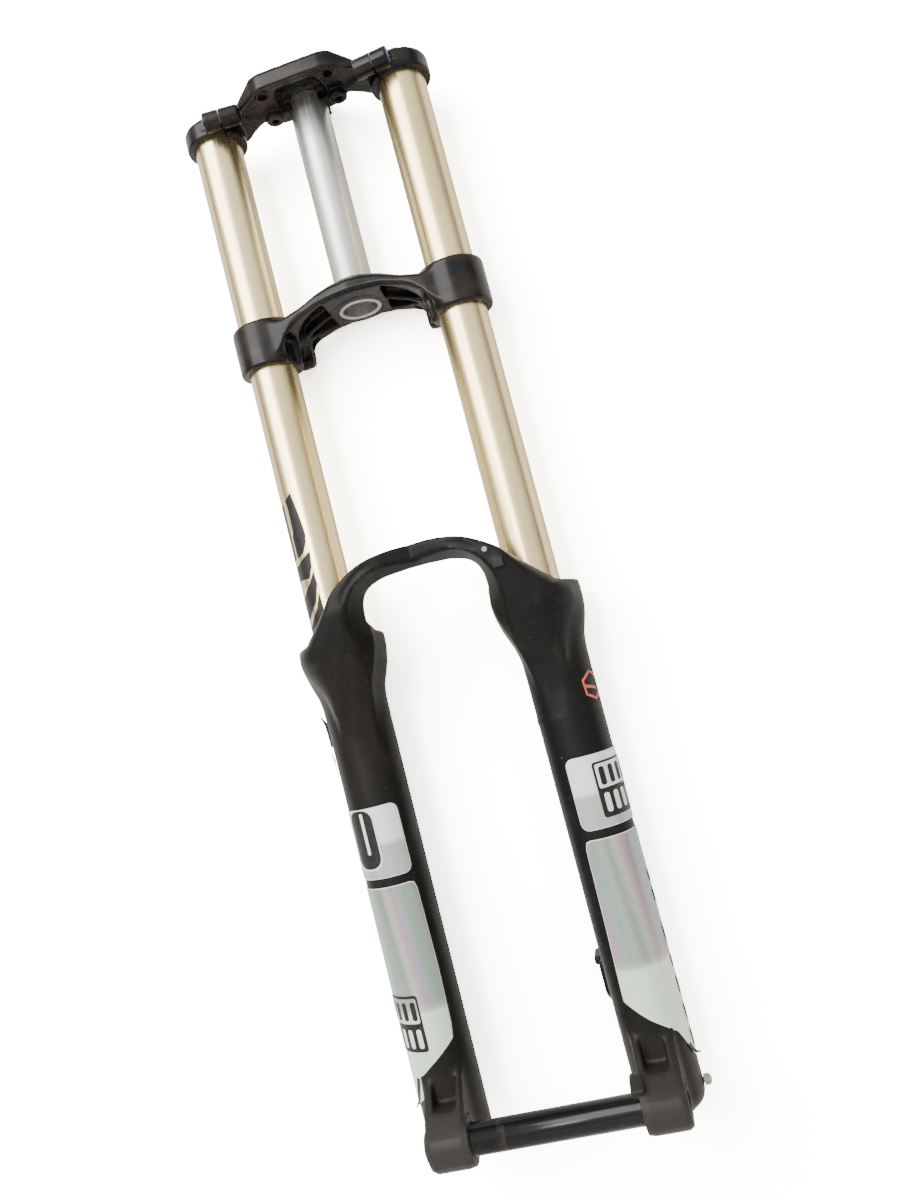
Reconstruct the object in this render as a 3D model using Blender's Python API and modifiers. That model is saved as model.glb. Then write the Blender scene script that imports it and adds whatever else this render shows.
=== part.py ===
"""Dual-crown suspension fork, modelled piece by piece in metres, +Z up.

The origin is on the steerer axis at the lower crown's bearing seat. +Z runs up
the steerer, -Y is forward and +X is the rider's left. The lower legs, with the
wheel axle, slide up along the stanchions.
"""
import bpy
import bmesh
from math import cos, pi, radians, sin
from mathutils import Matrix

MM = 0.001
GAP = 0.3 * MM

# Driving dimensions
STANCHION_R = 17.5 * MM
STANCHION_WALL = 1.6 * MM
STANCHION_X = 72.4 * MM
STANCHION_Y = -11.2 * MM
STANCHION_TOP = 142.6 * MM
STANCHION_BOTTOM = -356.0 * MM
STEERER_R = 14.3 * MM
STEERER_BORE_R = 11.9 * MM
STEERER_TOP = 160.0 * MM
STEERER_BASE_R = 16.2 * MM
STEERER_MOUTH_R = 13.0 * MM
STEERER_BOTTOM = -18.4 * MM
AXLE_R = 10.0 * MM
AXLE_Y = -47.6 * MM
AXLE_Z = -585.0 * MM
HUB_HALF = 55.0 * MM
TRAVEL_TOP_OF_LEGS = -253.0 * MM
LEG_R = 22.6 * MM
LEG_END_R = 22.4 * MM
LEG_BULGE_R = 28.8 * MM
LEG_BORE_R = 19.0 * MM
LEG_BOTTOM = -603.5 * MM
FOOT_TOP = -572.0 * MM
LOWER_CLAMP_R = 22.9 * MM
LOWER_CLAMP_Z = (-48.6 * MM, -15.0 * MM)
UPPER_CLAMP_R = 22.3 * MM
UPPER_CLAMP_Z = (127.7 * MM, 142.2 * MM)
BOLT_R = 3.0 * MM
BOLT_HEAD_R = 4.8 * MM

SIDES = {"right": -1, "left": 1}      # the rider's right leg stands at -X
TUBE_STEPS = 24
SMALL_STEPS = 12

COLOURS = {
    "gold_anodised": ((0.62, 0.55, 0.36), 0.32, 1.0),
    "black_forged": ((0.012, 0.012, 0.013), 0.28, 0.2),
    "black_magnesium": ((0.018, 0.018, 0.019), 0.45, 0.2),
    "bare_aluminium": ((0.72, 0.72, 0.73), 0.35, 1.0),
    "black_anodised": ((0.01, 0.01, 0.012), 0.22, 0.8),
    "steel": ((0.35, 0.35, 0.36), 0.35, 1.0),
    "rubber": ((0.015, 0.015, 0.015), 0.7, 0.0),
    "bushing_polymer": ((0.25, 0.22, 0.17), 0.5, 0.1),
    "foam": ((0.2, 0.19, 0.17), 0.95, 0.0),
    "blue_anodised": ((0.03, 0.12, 0.4), 0.3, 0.9),
    "red_anodised": ((0.5, 0.03, 0.02), 0.3, 0.9),
}


# ---------------------------------------------------------------- helpers
def clear_scene():
    for obj in list(bpy.data.objects):
        bpy.data.objects.remove(obj, do_unlink=True)


def make_collection(name):
    collection = bpy.data.collections.new(name)
    bpy.context.scene.collection.children.link(collection)
    return collection


def material(name, kind):
    colour, roughness, metallic = COLOURS[kind]
    mat = bpy.data.materials.new(f"{name}_{kind}")
    mat.use_nodes = True
    shader = mat.node_tree.nodes["Principled BSDF"]
    shader.inputs["Base Color"].default_value = (*colour, 1.0)
    shader.inputs["Roughness"].default_value = roughness
    shader.inputs["Metallic"].default_value = metallic
    return mat


def link_part(obj, kind, parent=None):
    """Makes an object a named piece of the fork."""
    PARTS.objects.link(obj)
    obj.data.materials.append(material(obj.name, kind))
    obj.data.shade_smooth()
    obj.data.set_sharp_from_angle(angle=radians(35))
    if parent is not None:
        keep = obj.matrix_basis.copy()
        obj.parent = parent
        obj.matrix_basis = Matrix.Translation(-parent.location) @ keep
    return obj


def link_tool(obj):
    """Makes an object a hidden operand of a Boolean."""
    TOOLS.objects.link(obj)
    obj.hide_render = True
    obj.display_type = "WIRE"
    return obj


def joint_empty(name, location):
    empty = bpy.data.objects.new(name, None)
    empty.location = location
    PARTS.objects.link(empty)
    return empty


def boolean(obj, tool, operation):
    """Joins or cuts; EXACT leaves open edges where these tools share planes."""
    mod = obj.modifiers.new(f"{operation}_{tool.name}", "BOOLEAN")
    mod.operation = operation
    mod.solver = "MANIFOLD"
    mod.object = tool


def bevel(obj, width, segments=2, angle=30):
    mod = obj.modifiers.new("Bevel", "BEVEL")
    mod.width = width
    mod.segments = segments
    mod.limit_method = "ANGLE"
    mod.angle_limit = radians(angle)


AXIS_TURN = {
    "Z": Matrix.Identity(4),
    "X": Matrix.Rotation(pi / 2, 4, "Y"),
    "-X": Matrix.Rotation(-pi / 2, 4, "Y"),
    "Y": Matrix.Rotation(-pi / 2, 4, "X"),
}


def turned(name, profile, at=(0, 0, 0), axis="Z", steps=TUBE_STEPS, ring=False):
    """Turns a profile of (radius, height) points, listed down the outer side."""
    mesh = bpy.data.meshes.new(name)
    bm = bmesh.new()
    verts = [bm.verts.new((r, 0, h)) for r, h in profile]
    pairs = list(zip(verts, verts[1:]))
    if ring:
        pairs.append((verts[-1], verts[0]))
    for pair in pairs:
        bm.edges.new(pair)
    bm.to_mesh(mesh)
    bm.free()
    obj = bpy.data.objects.new(name, mesh)
    obj.matrix_basis = Matrix.Translation(at) @ AXIS_TURN[axis]
    mod = obj.modifiers.new("Screw", "SCREW")
    mod.steps = steps
    mod.render_steps = steps
    mod.use_merge_vertices = True
    mod.merge_threshold = 0.00001
    mod.use_smooth_shade = True
    return obj


def rod(name, radius, low, high, at=(0, 0, 0), axis="Z", steps=TUBE_STEPS, edge=0.0):
    """A solid round bar from low to high along its axis."""
    profile = [(0, high), (radius - edge, high)]
    if edge:
        profile += [(radius, high - edge), (radius, low + edge)]
    else:
        profile += [(radius, low)]
    profile += [(radius - edge, low), (0, low)] if edge else [(0, low)]
    return turned(name, profile, at, axis, steps)


def tube(name, outer, inner, low, high, at=(0, 0, 0), axis="Z", steps=TUBE_STEPS):
    profile = [(outer, high), (outer, low), (inner, low), (inner, high)]
    return turned(name, profile, at, axis, steps, ring=True)


def block(name, low, high):
    """A box between two opposite corners."""
    mesh = bpy.data.meshes.new(name)
    bm = bmesh.new()
    bmesh.ops.create_cube(bm, size=1.0)
    size = [b - a for a, b in zip(low, high)]
    middle = [(a + b) / 2 for a, b in zip(low, high)]
    bmesh.ops.scale(bm, vec=size, verts=bm.verts)
    bmesh.ops.translate(bm, vec=middle, verts=bm.verts)
    bm.to_mesh(mesh)
    bm.free()
    return bpy.data.objects.new(name, mesh)


def plate(name, outline, low, high, plane):
    """A flat outline, extruded from low to high across its plane."""
    curve = bpy.data.curves.new(name, "CURVE")
    curve.dimensions = "2D"
    curve.fill_mode = "BOTH"
    curve.extrude = (high - low) / 2
    curve.resolution_u = 1
    spline = curve.splines.new("POLY")
    spline.points.add(len(outline) - 1)
    for point, (u, v) in zip(spline.points, outline):
        point.co = (u, v, 0, 1)
    spline.use_cyclic_u = True
    draft = bpy.data.objects.new(f"{name}_outline", curve)
    bpy.context.scene.collection.objects.link(draft)
    graph = bpy.context.evaluated_depsgraph_get()
    mesh = bpy.data.meshes.new_from_object(draft.evaluated_get(graph))
    bpy.data.objects.remove(draft)
    mesh.name = name
    bm = bmesh.new()
    bm.from_mesh(mesh)
    bmesh.ops.remove_doubles(bm, verts=bm.verts, dist=0.000001)
    bmesh.ops.translate(bm, vec=(0, 0, (low + high) / 2), verts=bm.verts)
    turn = {"XY": ((1, 0, 0), (0, 1, 0), (0, 0, 1)),
            "XZ": ((1, 0, 0), (0, 0, 1), (0, 1, 0)),
            "YZ": ((0, 1, 0), (0, 0, 1), (1, 0, 0))}[plane]
    bmesh.ops.transform(bm, matrix=Matrix(turn).transposed().to_4x4(), verts=bm.verts)
    bmesh.ops.recalc_face_normals(bm, faces=bm.faces)
    bm.to_mesh(mesh)
    bm.free()
    return bpy.data.objects.new(name, mesh)


def arc(centre, radius, start, end, count):
    """Points on a circular arc, angles in degrees."""
    points = []
    for i in range(count + 1):
        angle = radians(start + (end - start) * i / count)
        points.append((centre[0] + radius * cos(angle), centre[1] + radius * sin(angle)))
    return points


def mirrored(points):
    """A left-right symmetric outline from its +X half."""
    return points + [(-x, y) for x, y in reversed(points)]


def scaled(points):
    return [(u * MM, v * MM) for u, v in points]


def loft(name, sections):
    """Closed skin through rings of equally many (x, y, z) points."""
    mesh = bpy.data.meshes.new(name)
    bm = bmesh.new()
    rings = [[bm.verts.new(co) for co in ring] for ring in sections]
    count = len(rings[0])
    for a, b in zip(rings, rings[1:]):
        for i in range(count):
            j = (i + 1) % count
            bm.faces.new((a[i], a[j], b[j], b[i]))
    bm.faces.new(list(reversed(rings[0])))
    bm.faces.new(rings[-1])
    bmesh.ops.recalc_face_normals(bm, faces=bm.faces)
    bm.to_mesh(mesh)
    bm.free()
    return bpy.data.objects.new(name, mesh)


def screw_bolt(name, kind, at, axis, length, head, parent=None):
    """Socket-head bolt: the head stands above its seat at `at`, the shank below."""
    socket_r = BOLT_HEAD_R * 0.5
    socket_deep = head * 0.55
    profile = [(0, head - socket_deep), (socket_r, head - socket_deep), (socket_r, head),
               (BOLT_HEAD_R - 0.5 * MM, head), (BOLT_HEAD_R, head - 0.5 * MM),
               (BOLT_HEAD_R, 0), (BOLT_R, 0), (BOLT_R, 0.8 * MM - length),
               (BOLT_R - 0.8 * MM, -length), (0, -length)]
    return link_part(turned(name, profile, at, axis, SMALL_STEPS), kind, parent)


# ---------------------------------------------------------------- upper assembly
def build_steerer():
    profile = [(STEERER_R, STEERER_TOP), (STEERER_R, 2 * MM), (STEERER_BASE_R, -2 * MM),
               (STEERER_BASE_R, STEERER_BOTTOM), (STEERER_MOUTH_R, STEERER_BOTTOM),
               (STEERER_MOUTH_R, -6 * MM), (STEERER_BORE_R, 12 * MM),
               (STEERER_BORE_R, STEERER_TOP)]
    link_part(turned("steerer_tube", profile, ring=True), "bare_aluminium")


def build_stanchions():
    inner = STANCHION_R - STANCHION_WALL
    for side, s in SIDES.items():
        stanchion = tube(f"stanchion_{side}", STANCHION_R, inner, STANCHION_BOTTOM,
                         STANCHION_TOP, at=(s * STANCHION_X, STANCHION_Y, 0))
        link_part(stanchion, "gold_anodised")


def crown_section(x, y_front, y_rear, z_bottom, z_top, drop):
    """One slice across the lower crown's beam, with its front top edge rounded off."""
    low, high = z_bottom * MM, z_top * MM
    front, rear = y_front * MM, y_rear * MM
    fall = drop * MM
    ring = [(front + 3 * MM, low), (front, low + 2.5 * MM), (front, high - fall),
            (front + 2.5 * MM, high - fall * 0.55), (front + 14 * MM, high),
            (rear - 4 * MM, high), (rear, high - 3 * MM), (rear, low + 2 * MM),
            (rear - 3 * MM, low)]
    return [(x * MM, y, z) for y, z in ring]


LUG_FRONT = 1.0 * MM
LUG_REAR = 21.5 * MM
LUG_INNER = 45.0 * MM
LUG_SEAT_X = 50.6 * MM
LUG_OUTER = 69.0 * MM
LUG_SLOT_X = 56.6 * MM
LUG_BOLT_Y = 14.2 * MM
LUG_BOLT_Z = (-25.0 * MM, -38.0 * MM)
LOWER_LUG_BOTTOM = -45.2 * MM


def build_lower_crown():
    rows = [(-60, -33.0, 14, -38.0, -17.0, 4.0), (-50, -32.8, 20, -27.0, -16.5, 3.0),
            (-38, -32.2, 21.5, -22.3, -13.0, 4.0), (-24, -32.5, 22.0, -19.3, -6.0, 5.0),
            (-10, -33.2, 22.5, -17.8, -1.6, 6.0), (0, -33.6, 22.5, -17.4, -1.2, 6.0)]
    rows += [(-x, *rest) for x, *rest in reversed(rows[:-1])]
    crown = loft("lower_crown", [crown_section(*row) for row in rows])
    seat = rod("crown_seat", 19.0 * MM, STEERER_BOTTOM + 1.6 * MM, 0)
    boolean(crown, link_tool(seat), "UNION")
    for side, s in SIDES.items():
        at = (s * STANCHION_X, STANCHION_Y, 0)
        clamp = rod(f"clamp_body_{side}", LOWER_CLAMP_R, *LOWER_CLAMP_Z, at=at,
                    edge=1.5 * MM)
        boolean(crown, link_tool(clamp), "UNION")
        x_low, x_high = sorted((s * LUG_INNER, s * LUG_OUTER))
        lug = block(f"clamp_lug_{side}", (x_low, LUG_FRONT - 8 * MM, LOWER_LUG_BOTTOM),
                    (x_high, LUG_REAR, -17.6 * MM))
        bevel(lug, 3.0 * MM, 1)
        boolean(crown, link_tool(lug), "UNION")
    for side, s in SIDES.items():
        at = (s * STANCHION_X, STANCHION_Y, 0)
        bore = rod(f"clamp_bore_{side}", STANCHION_R + GAP, -60 * MM, 10 * MM, at=at)
        boolean(crown, link_tool(bore), "DIFFERENCE")
        slot = block(f"clamp_slot_{side}",
                     (s * LUG_SLOT_X - 1.0 * MM, -8 * MM, -60 * MM),
                     (s * LUG_SLOT_X + 1.0 * MM, 30 * MM, 5 * MM))
        boolean(crown, link_tool(slot), "DIFFERENCE")
        for i, z in enumerate(LUG_BOLT_Z):
            hole = rod(f"lug_hole_{side}_{i}", BOLT_R + GAP, LUG_INNER - 5 * MM,
                       LUG_OUTER + 5 * MM, at=(0, LUG_BOLT_Y, z),
                       axis="X" if s > 0 else "-X", steps=SMALL_STEPS)
            boolean(crown, link_tool(hole), "DIFFERENCE")
            seat = rod(f"lug_seat_{side}_{i}", BOLT_HEAD_R + GAP, 38 * MM, LUG_SEAT_X,
                       at=(0, LUG_BOLT_Y, z), axis="X" if s > 0 else "-X",
                       steps=SMALL_STEPS)
            boolean(crown, link_tool(seat), "DIFFERENCE")
    steerer_hole = turned("steerer_hole", [(0, 9 * MM), (STEERER_R + GAP, 9 * MM),
                          (STEERER_R + GAP, 2.3 * MM), (STEERER_BASE_R + GAP, -1.6 * MM),
                          (STEERER_BASE_R + GAP, -30 * MM), (0, -30 * MM)])
    boolean(crown, link_tool(steerer_hole), "DIFFERENCE")
    link_part(crown, "black_forged")
    for side, s in SIDES.items():
        for i, z in enumerate(LUG_BOLT_Z):
            seat_x = s * (LUG_SEAT_X - GAP)
            screw_bolt(f"lower_crown_bolt_{side}_{'upper' if i == 0 else 'lower'}", "steel",
                       (seat_x, LUG_BOLT_Y, z), "-X" if s > 0 else "X", 17 * MM, 5 * MM)


BARREL_X = 58.4 * MM
BARREL_Y = -36.0 * MM
BARREL_Z = 134.2 * MM
BARREL_R = 6.9 * MM
BARREL_TURN = 7.0
STEM_HOLE_X = 25.0 * MM
STEM_HOLE_Y = (-34.0 * MM, -8.5 * MM)
STEM_BOSS_R = 6.2 * MM
STEM_BOSS_LOW = (139.6 * MM, 136.6 * MM)
RECESS_TOP = 141.6 * MM
STEERER_BOLT_Y = 20.2 * MM
STEERER_BOLT_Z = 153.4 * MM
UPPER_PLATE_Z = (138.6 * MM, 153.5 * MM)
STEERER_CLAMP_Z = (147.8 * MM, 159.0 * MM)


def barrel_matrix(s):
    """Axis of an upper crown pinch bolt: +Z of this frame runs outward and forward."""
    turn = Matrix.Rotation(-s * radians(BARREL_TURN), 4, "Z")
    lay = AXIS_TURN["X" if s > 0 else "-X"]
    place = Matrix.Translation((s * BARREL_X, BARREL_Y, BARREL_Z))
    return place @ turn @ lay


def build_upper_crown():
    outline = mirrored(scaled([(24, -46.2), (28, -45.0), (46, -30.5), (53.5, -24),
                               (53.5, 6), (50, 5.5), (41, -3), (30, -8), (20, 1)]))
    crown = plate("upper_crown", outline, *UPPER_PLATE_Z, "XY")
    bevel(crown, 1.6 * MM, 1, 40)
    for s in SIDES.values():
        shoulder = block(f"shoulder_slope_{s}", (0, -80 * MM, 0), (60 * MM, 60 * MM, 30 * MM))
        shoulder.matrix_basis = (Matrix.Translation((s * 26 * MM, 0, UPPER_PLATE_Z[1]))
                                 @ Matrix.Rotation(0 if s > 0 else pi, 4, "Z")
                                 @ Matrix.Rotation(radians(21), 4, "Y"))
        boolean(crown, link_tool(shoulder), "DIFFERENCE")
    steerer_clamp = plate("steerer_clamp",
                          mirrored(scaled(arc((0, 0), 20.5, -60, 20, 5)
                                          + [(13.5, 18), (12.5, 25.2)])),
                          *STEERER_CLAMP_Z, "XY")
    boolean(crown, link_tool(steerer_clamp), "UNION")
    slope = block("front_slope", (-70 * MM, -40 * MM, 0), (70 * MM, 40 * MM, 30 * MM))
    slope.matrix_basis = (Matrix.Translation((0, -46.4 * MM, 150.4 * MM))
                          @ Matrix.Rotation(radians(15), 4, "X"))
    boolean(crown, link_tool(slope), "DIFFERENCE")
    recess = plate("underside_recess",
                   mirrored(scaled([(22, -42.3), (26, -40.5), (35, -33), (35, -16),
                                    (20, -20)])),
                   130 * MM, RECESS_TOP, "XY")
    boolean(crown, link_tool(recess), "DIFFERENCE")
    for side, s in SIDES.items():
        for i, y in enumerate(STEM_HOLE_Y):
            boss = rod(f"stem_boss_{side}_{i}", STEM_BOSS_R, STEM_BOSS_LOW[i], 151 * MM,
                       at=(s * STEM_HOLE_X, y, 0), steps=SMALL_STEPS)
            boolean(crown, link_tool(boss), "UNION")
        clamp = rod(f"upper_clamp_{side}", UPPER_CLAMP_R, *UPPER_CLAMP_Z,
                    at=(s * STANCHION_X, STANCHION_Y, 0), edge=1.4 * MM)
        boolean(crown, link_tool(clamp), "UNION")
        barrel = rod(f"barrel_{side}", BARREL_R, -14.0 * MM, 12.0 * MM, edge=0.8 * MM,
                     steps=16)
        barrel.matrix_basis = barrel_matrix(s)
        boolean(crown, link_tool(barrel), "UNION")
    for side, s in SIDES.items():
        bore = rod(f"upper_bore_{side}", STANCHION_R + GAP, 120 * MM, 165 * MM,
                   at=(s * STANCHION_X, STANCHION_Y, 0))
        boolean(crown, link_tool(bore), "DIFFERENCE")
        slot = block(f"upper_slot_{side}", (-0.8 * MM, -12 * MM, -14 * MM),
                     (0.8 * MM, 12 * MM, 14 * MM))
        slot.matrix_basis = (Matrix.Translation((s * BARREL_X, BARREL_Y, BARREL_Z))
                             @ Matrix.Rotation(-s * radians(BARREL_TURN), 4, "Z"))
        slot.data.transform(Matrix.Translation((0, 0.5 * MM, 0)))
        boolean(crown, link_tool(slot), "DIFFERENCE")
        hole = turned(f"barrel_hole_{side}",
                      [(0, 30 * MM), (BOLT_HEAD_R + GAP, 30 * MM),
                       (BOLT_HEAD_R + GAP, 8 * MM), (BOLT_R + GAP, 8 * MM),
                       (BOLT_R + GAP, -20 * MM), (0, -20 * MM)], steps=SMALL_STEPS)
        hole.matrix_basis = barrel_matrix(s)
        boolean(crown, link_tool(hole), "DIFFERENCE")
        for i, y in enumerate(STEM_HOLE_Y):
            stem_hole = rod(f"stem_hole_{side}_{i}", 2.8 * MM, 130 * MM, 165 * MM,
                            at=(s * STEM_HOLE_X, y, 0), steps=12)
            boolean(crown, link_tool(stem_hole), "DIFFERENCE")
    steerer_bore = rod("upper_steerer_bore", STEERER_R + GAP, 120 * MM, 170 * MM)
    boolean(crown, link_tool(steerer_bore), "DIFFERENCE")
    slot = block("steerer_slot", (-1.0 * MM, 12 * MM, 130 * MM), (1.0 * MM, 30 * MM, 175 * MM))
    boolean(crown, link_tool(slot), "DIFFERENCE")
    head_seat = turned("steerer_bolt_hole",
                       [(0, 30 * MM), (BOLT_HEAD_R + GAP, 30 * MM),
                        (BOLT_HEAD_R + GAP, 8 * MM), (BOLT_R + GAP, 8 * MM),
                        (BOLT_R + GAP, -20 * MM), (0, -20 * MM)],
                       at=(0, STEERER_BOLT_Y, STEERER_BOLT_Z), axis="X", steps=SMALL_STEPS)
    boolean(crown, link_tool(head_seat), "DIFFERENCE")
    link_part(crown, "black_forged")
    for side, s in SIDES.items():
        bolt = screw_bolt(f"upper_crown_bolt_{side}", "blue_anodised", (0, 0, 0), "Z",
                          18 * MM, 5 * MM)
        bolt.matrix_basis = barrel_matrix(s) @ Matrix.Translation((0, 0, 8 * MM + GAP))
    screw_bolt("steerer_pinch_bolt", "steel", (8 * MM + GAP, STEERER_BOLT_Y, STEERER_BOLT_Z),
               "X", 18 * MM, 4.2 * MM)


def build_top_caps():
    """Threaded caps in the stanchion tops, with the damper and air chamber under them."""
    inner = STANCHION_R - STANCHION_WALL - GAP
    rim = STANCHION_R
    seat = STANCHION_TOP + GAP
    for side, s in SIDES.items():
        at = (s * STANCHION_X, STANCHION_Y, 0)
        centre_r = 6.3 * MM if side == "right" else 3.2 * MM
        profile = [(rim - 1 * MM, seat + 2.4 * MM), (rim, seat + 1.4 * MM), (rim, seat),
                   (inner, seat), (inner, seat - 14 * MM), (centre_r, seat - 14 * MM),
                   (centre_r, seat + 2.4 * MM)]
        name = "compression_top_cap" if side == "right" else "air_top_cap"
        link_part(turned(name, profile, at, ring=True), "black_anodised")
    at_air = (STANCHION_X, STANCHION_Y, 0)
    valve = [(0, seat + 2.0 * MM), (2.2 * MM, seat + 2.0 * MM), (2.9 * MM, seat + 1.4 * MM),
             (2.9 * MM, seat - 22 * MM), (0, seat - 22 * MM)]
    link_part(turned("air_valve", valve, at_air, steps=SMALL_STEPS), "steel")


DAMPER_HEAD_Z = (-70.0 * MM, 127.0 * MM)
SEAL_HEAD_Z = (-355.0 * MM, -338.0 * MM)
SHAFT_R = 5.0 * MM
PISTON_Z = (-334.0 * MM, -318.0 * MM)


def build_upper_internals():
    inner = STANCHION_R - STANCHION_WALL - GAP
    at_damper = (-STANCHION_X, STANCHION_Y, 0)
    low, high = DAMPER_HEAD_Z
    profile = [(0, high), (8 * MM, high), (8 * MM, low + 16 * MM), (inner, low + 16 * MM),
               (inner, low + 10 * MM), (inner - 1.5 * MM, low + 9 * MM),
               (inner - 1.5 * MM, low + 5 * MM), (inner, low + 4 * MM), (inner, low),
               (0, low)]
    link_part(turned("compression_valve", profile, at_damper), "bare_aluminium")
    for side, name in (("right", "damper_seal_head"), ("left", "air_seal_head")):
        at = (SIDES[side] * STANCHION_X, STANCHION_Y, 0)
        head = tube(name, inner, SHAFT_R + GAP, *SEAL_HEAD_Z, at=at)
        link_part(head, "black_anodised")


# ---------------------------------------------------------------- lower assembly
ARCH_FRONT = -59.0 * MM
ARCH_REAR = -36.5 * MM
BOSS_R = 16.0 * MM
BOSS_X = (57.0 * MM, 84.0 * MM)
POCKET_X = (61.8 * MM, 77.4 * MM)
SIDE_SCREW_Z = -590.5 * MM
SIDE_SCREW_R = 1.7 * MM
GUIDE_SCREW_AT = (49.6 * MM, -221.6 * MM)
GUIDE_AT = (56.0 * MM, -232.0 * MM)
POST_Z = (-518.0 * MM, -443.8 * MM)
POST_INNER_X = (46.8 * MM, 50.5 * MM)
POST_OUTER_X = 68.0 * MM
POST_BOLT_X = 58.5 * MM
POST_BOLT_R = 2.6 * MM
POST_HALF = 13.0 * MM
POST_FACE_Y = 24.0 * MM
POST_LIP_X = 43.8 * MM


def leg_profile():
    bulge, narrow = LEG_BULGE_R, LEG_R
    return [(0, TRAVEL_TOP_OF_LEGS), (bulge - 1.2 * MM, TRAVEL_TOP_OF_LEGS),
            (bulge, -254.5 * MM), (bulge, -268 * MM), (bulge - 0.8 * MM, -274 * MM),
            (26.4 * MM, -281 * MM), (24.0 * MM, -288 * MM), (narrow + 0.3 * MM, -296 * MM),
            (narrow, -310 * MM), (LEG_END_R, -440 * MM), (LEG_END_R, -592 * MM),
            (21.0 * MM, -597.5 * MM), (17.5 * MM, -601.8 * MM), (12 * MM, LEG_BOTTOM),
            (0, LEG_BOTTOM)]


def bore_profile():
    """Inside of a leg, with its seal seat at the top and the foot at the bottom."""
    return [(0, -250 * MM), (23.5 * MM, -250 * MM), (23.5 * MM, -262 * MM),
            (LEG_BORE_R, -262 * MM), (LEG_BORE_R, FOOT_TOP + 4 * MM),
            (LEG_BORE_R - 4 * MM, FOOT_TOP), (4.3 * MM, FOOT_TOP),
            (4.3 * MM, -590 * MM), (9.5 * MM, -590 * MM), (9.5 * MM, -610 * MM),
            (0, -610 * MM)]


def arch_ring(y, outside, inside):
    """Closed outline of the arch at depth y, from its +X half."""
    half = scaled(outside + inside)
    outline = half + [(-x, z) for x, z in reversed(half[1:-1])]
    return [(x, y, z) for x, z in outline]


def arch_solid():
    """The arch narrows to its front face, so that its inside is a sloping wall."""
    rear_outside = [(0, -204), (14, -204.6), (28, -206.8), (41, -210.2), (56, -219),
                    (70, -233), (90, -253.1), (94, -264), (84, -285), (78, -320)]
    rear_inside = [(61, -320), (52, -292), (44.5, -268), (42, -254), (42.4, -243),
                   (41.8, -234), (39, -227), (33.5, -222.6), (24, -219.8), (11, -218.8),
                   (0, -218.6)]
    front_outside = [(0, -202.8), (13, -203.6), (27, -206.2), (41, -211), (57, -221.5),
                     (68.5, -234.5), (84, -252), (88, -264), (82, -285), (76, -320)]
    front_inside = [(64, -320), (61.5, -292), (57.5, -268), (54, -252), (51, -241),
                    (48, -232), (43.5, -224), (35.5, -218), (25, -214.2), (12, -212.2),
                    (0, -211.8)]
    arch = loft("arch_body", [arch_ring(ARCH_FRONT, front_outside, front_inside),
                              arch_ring(ARCH_REAR, rear_outside, rear_inside),
                              arch_ring(ARCH_REAR + 14 * MM, rear_outside, rear_inside)])
    side_cut = plate("arch_side_cut",
                     scaled([(-80, -190), (ARCH_FRONT / MM, -190), (ARCH_FRONT / MM, -236),
                             (-55, -256), (-44, -284), (-36, -306), (-31, -322),
                             (-31, -340), (-80, -340)]),
                     -120 * MM, 120 * MM, "YZ")
    back_cut = block("arch_back_cut", (-120 * MM, ARCH_REAR, TRAVEL_TOP_OF_LEGS),
                     (120 * MM, 0, -180 * MM))
    boolean(arch, link_tool(side_cut), "DIFFERENCE")
    boolean(arch, link_tool(back_cut), "DIFFERENCE")
    return arch


def dropout_outline():
    """Side view of a dropout, from the leg's front down round the axle boss."""
    arc_points = arc((AXLE_Y / MM, AXLE_Z / MM), BOSS_R / MM, 158, 285, 8)
    return scaled([(-28, -536), (-37, -550), (-47, -561)] + arc_points
                  + [(-24, -601.5), (-11, -600), (-11, -536)])


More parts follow.
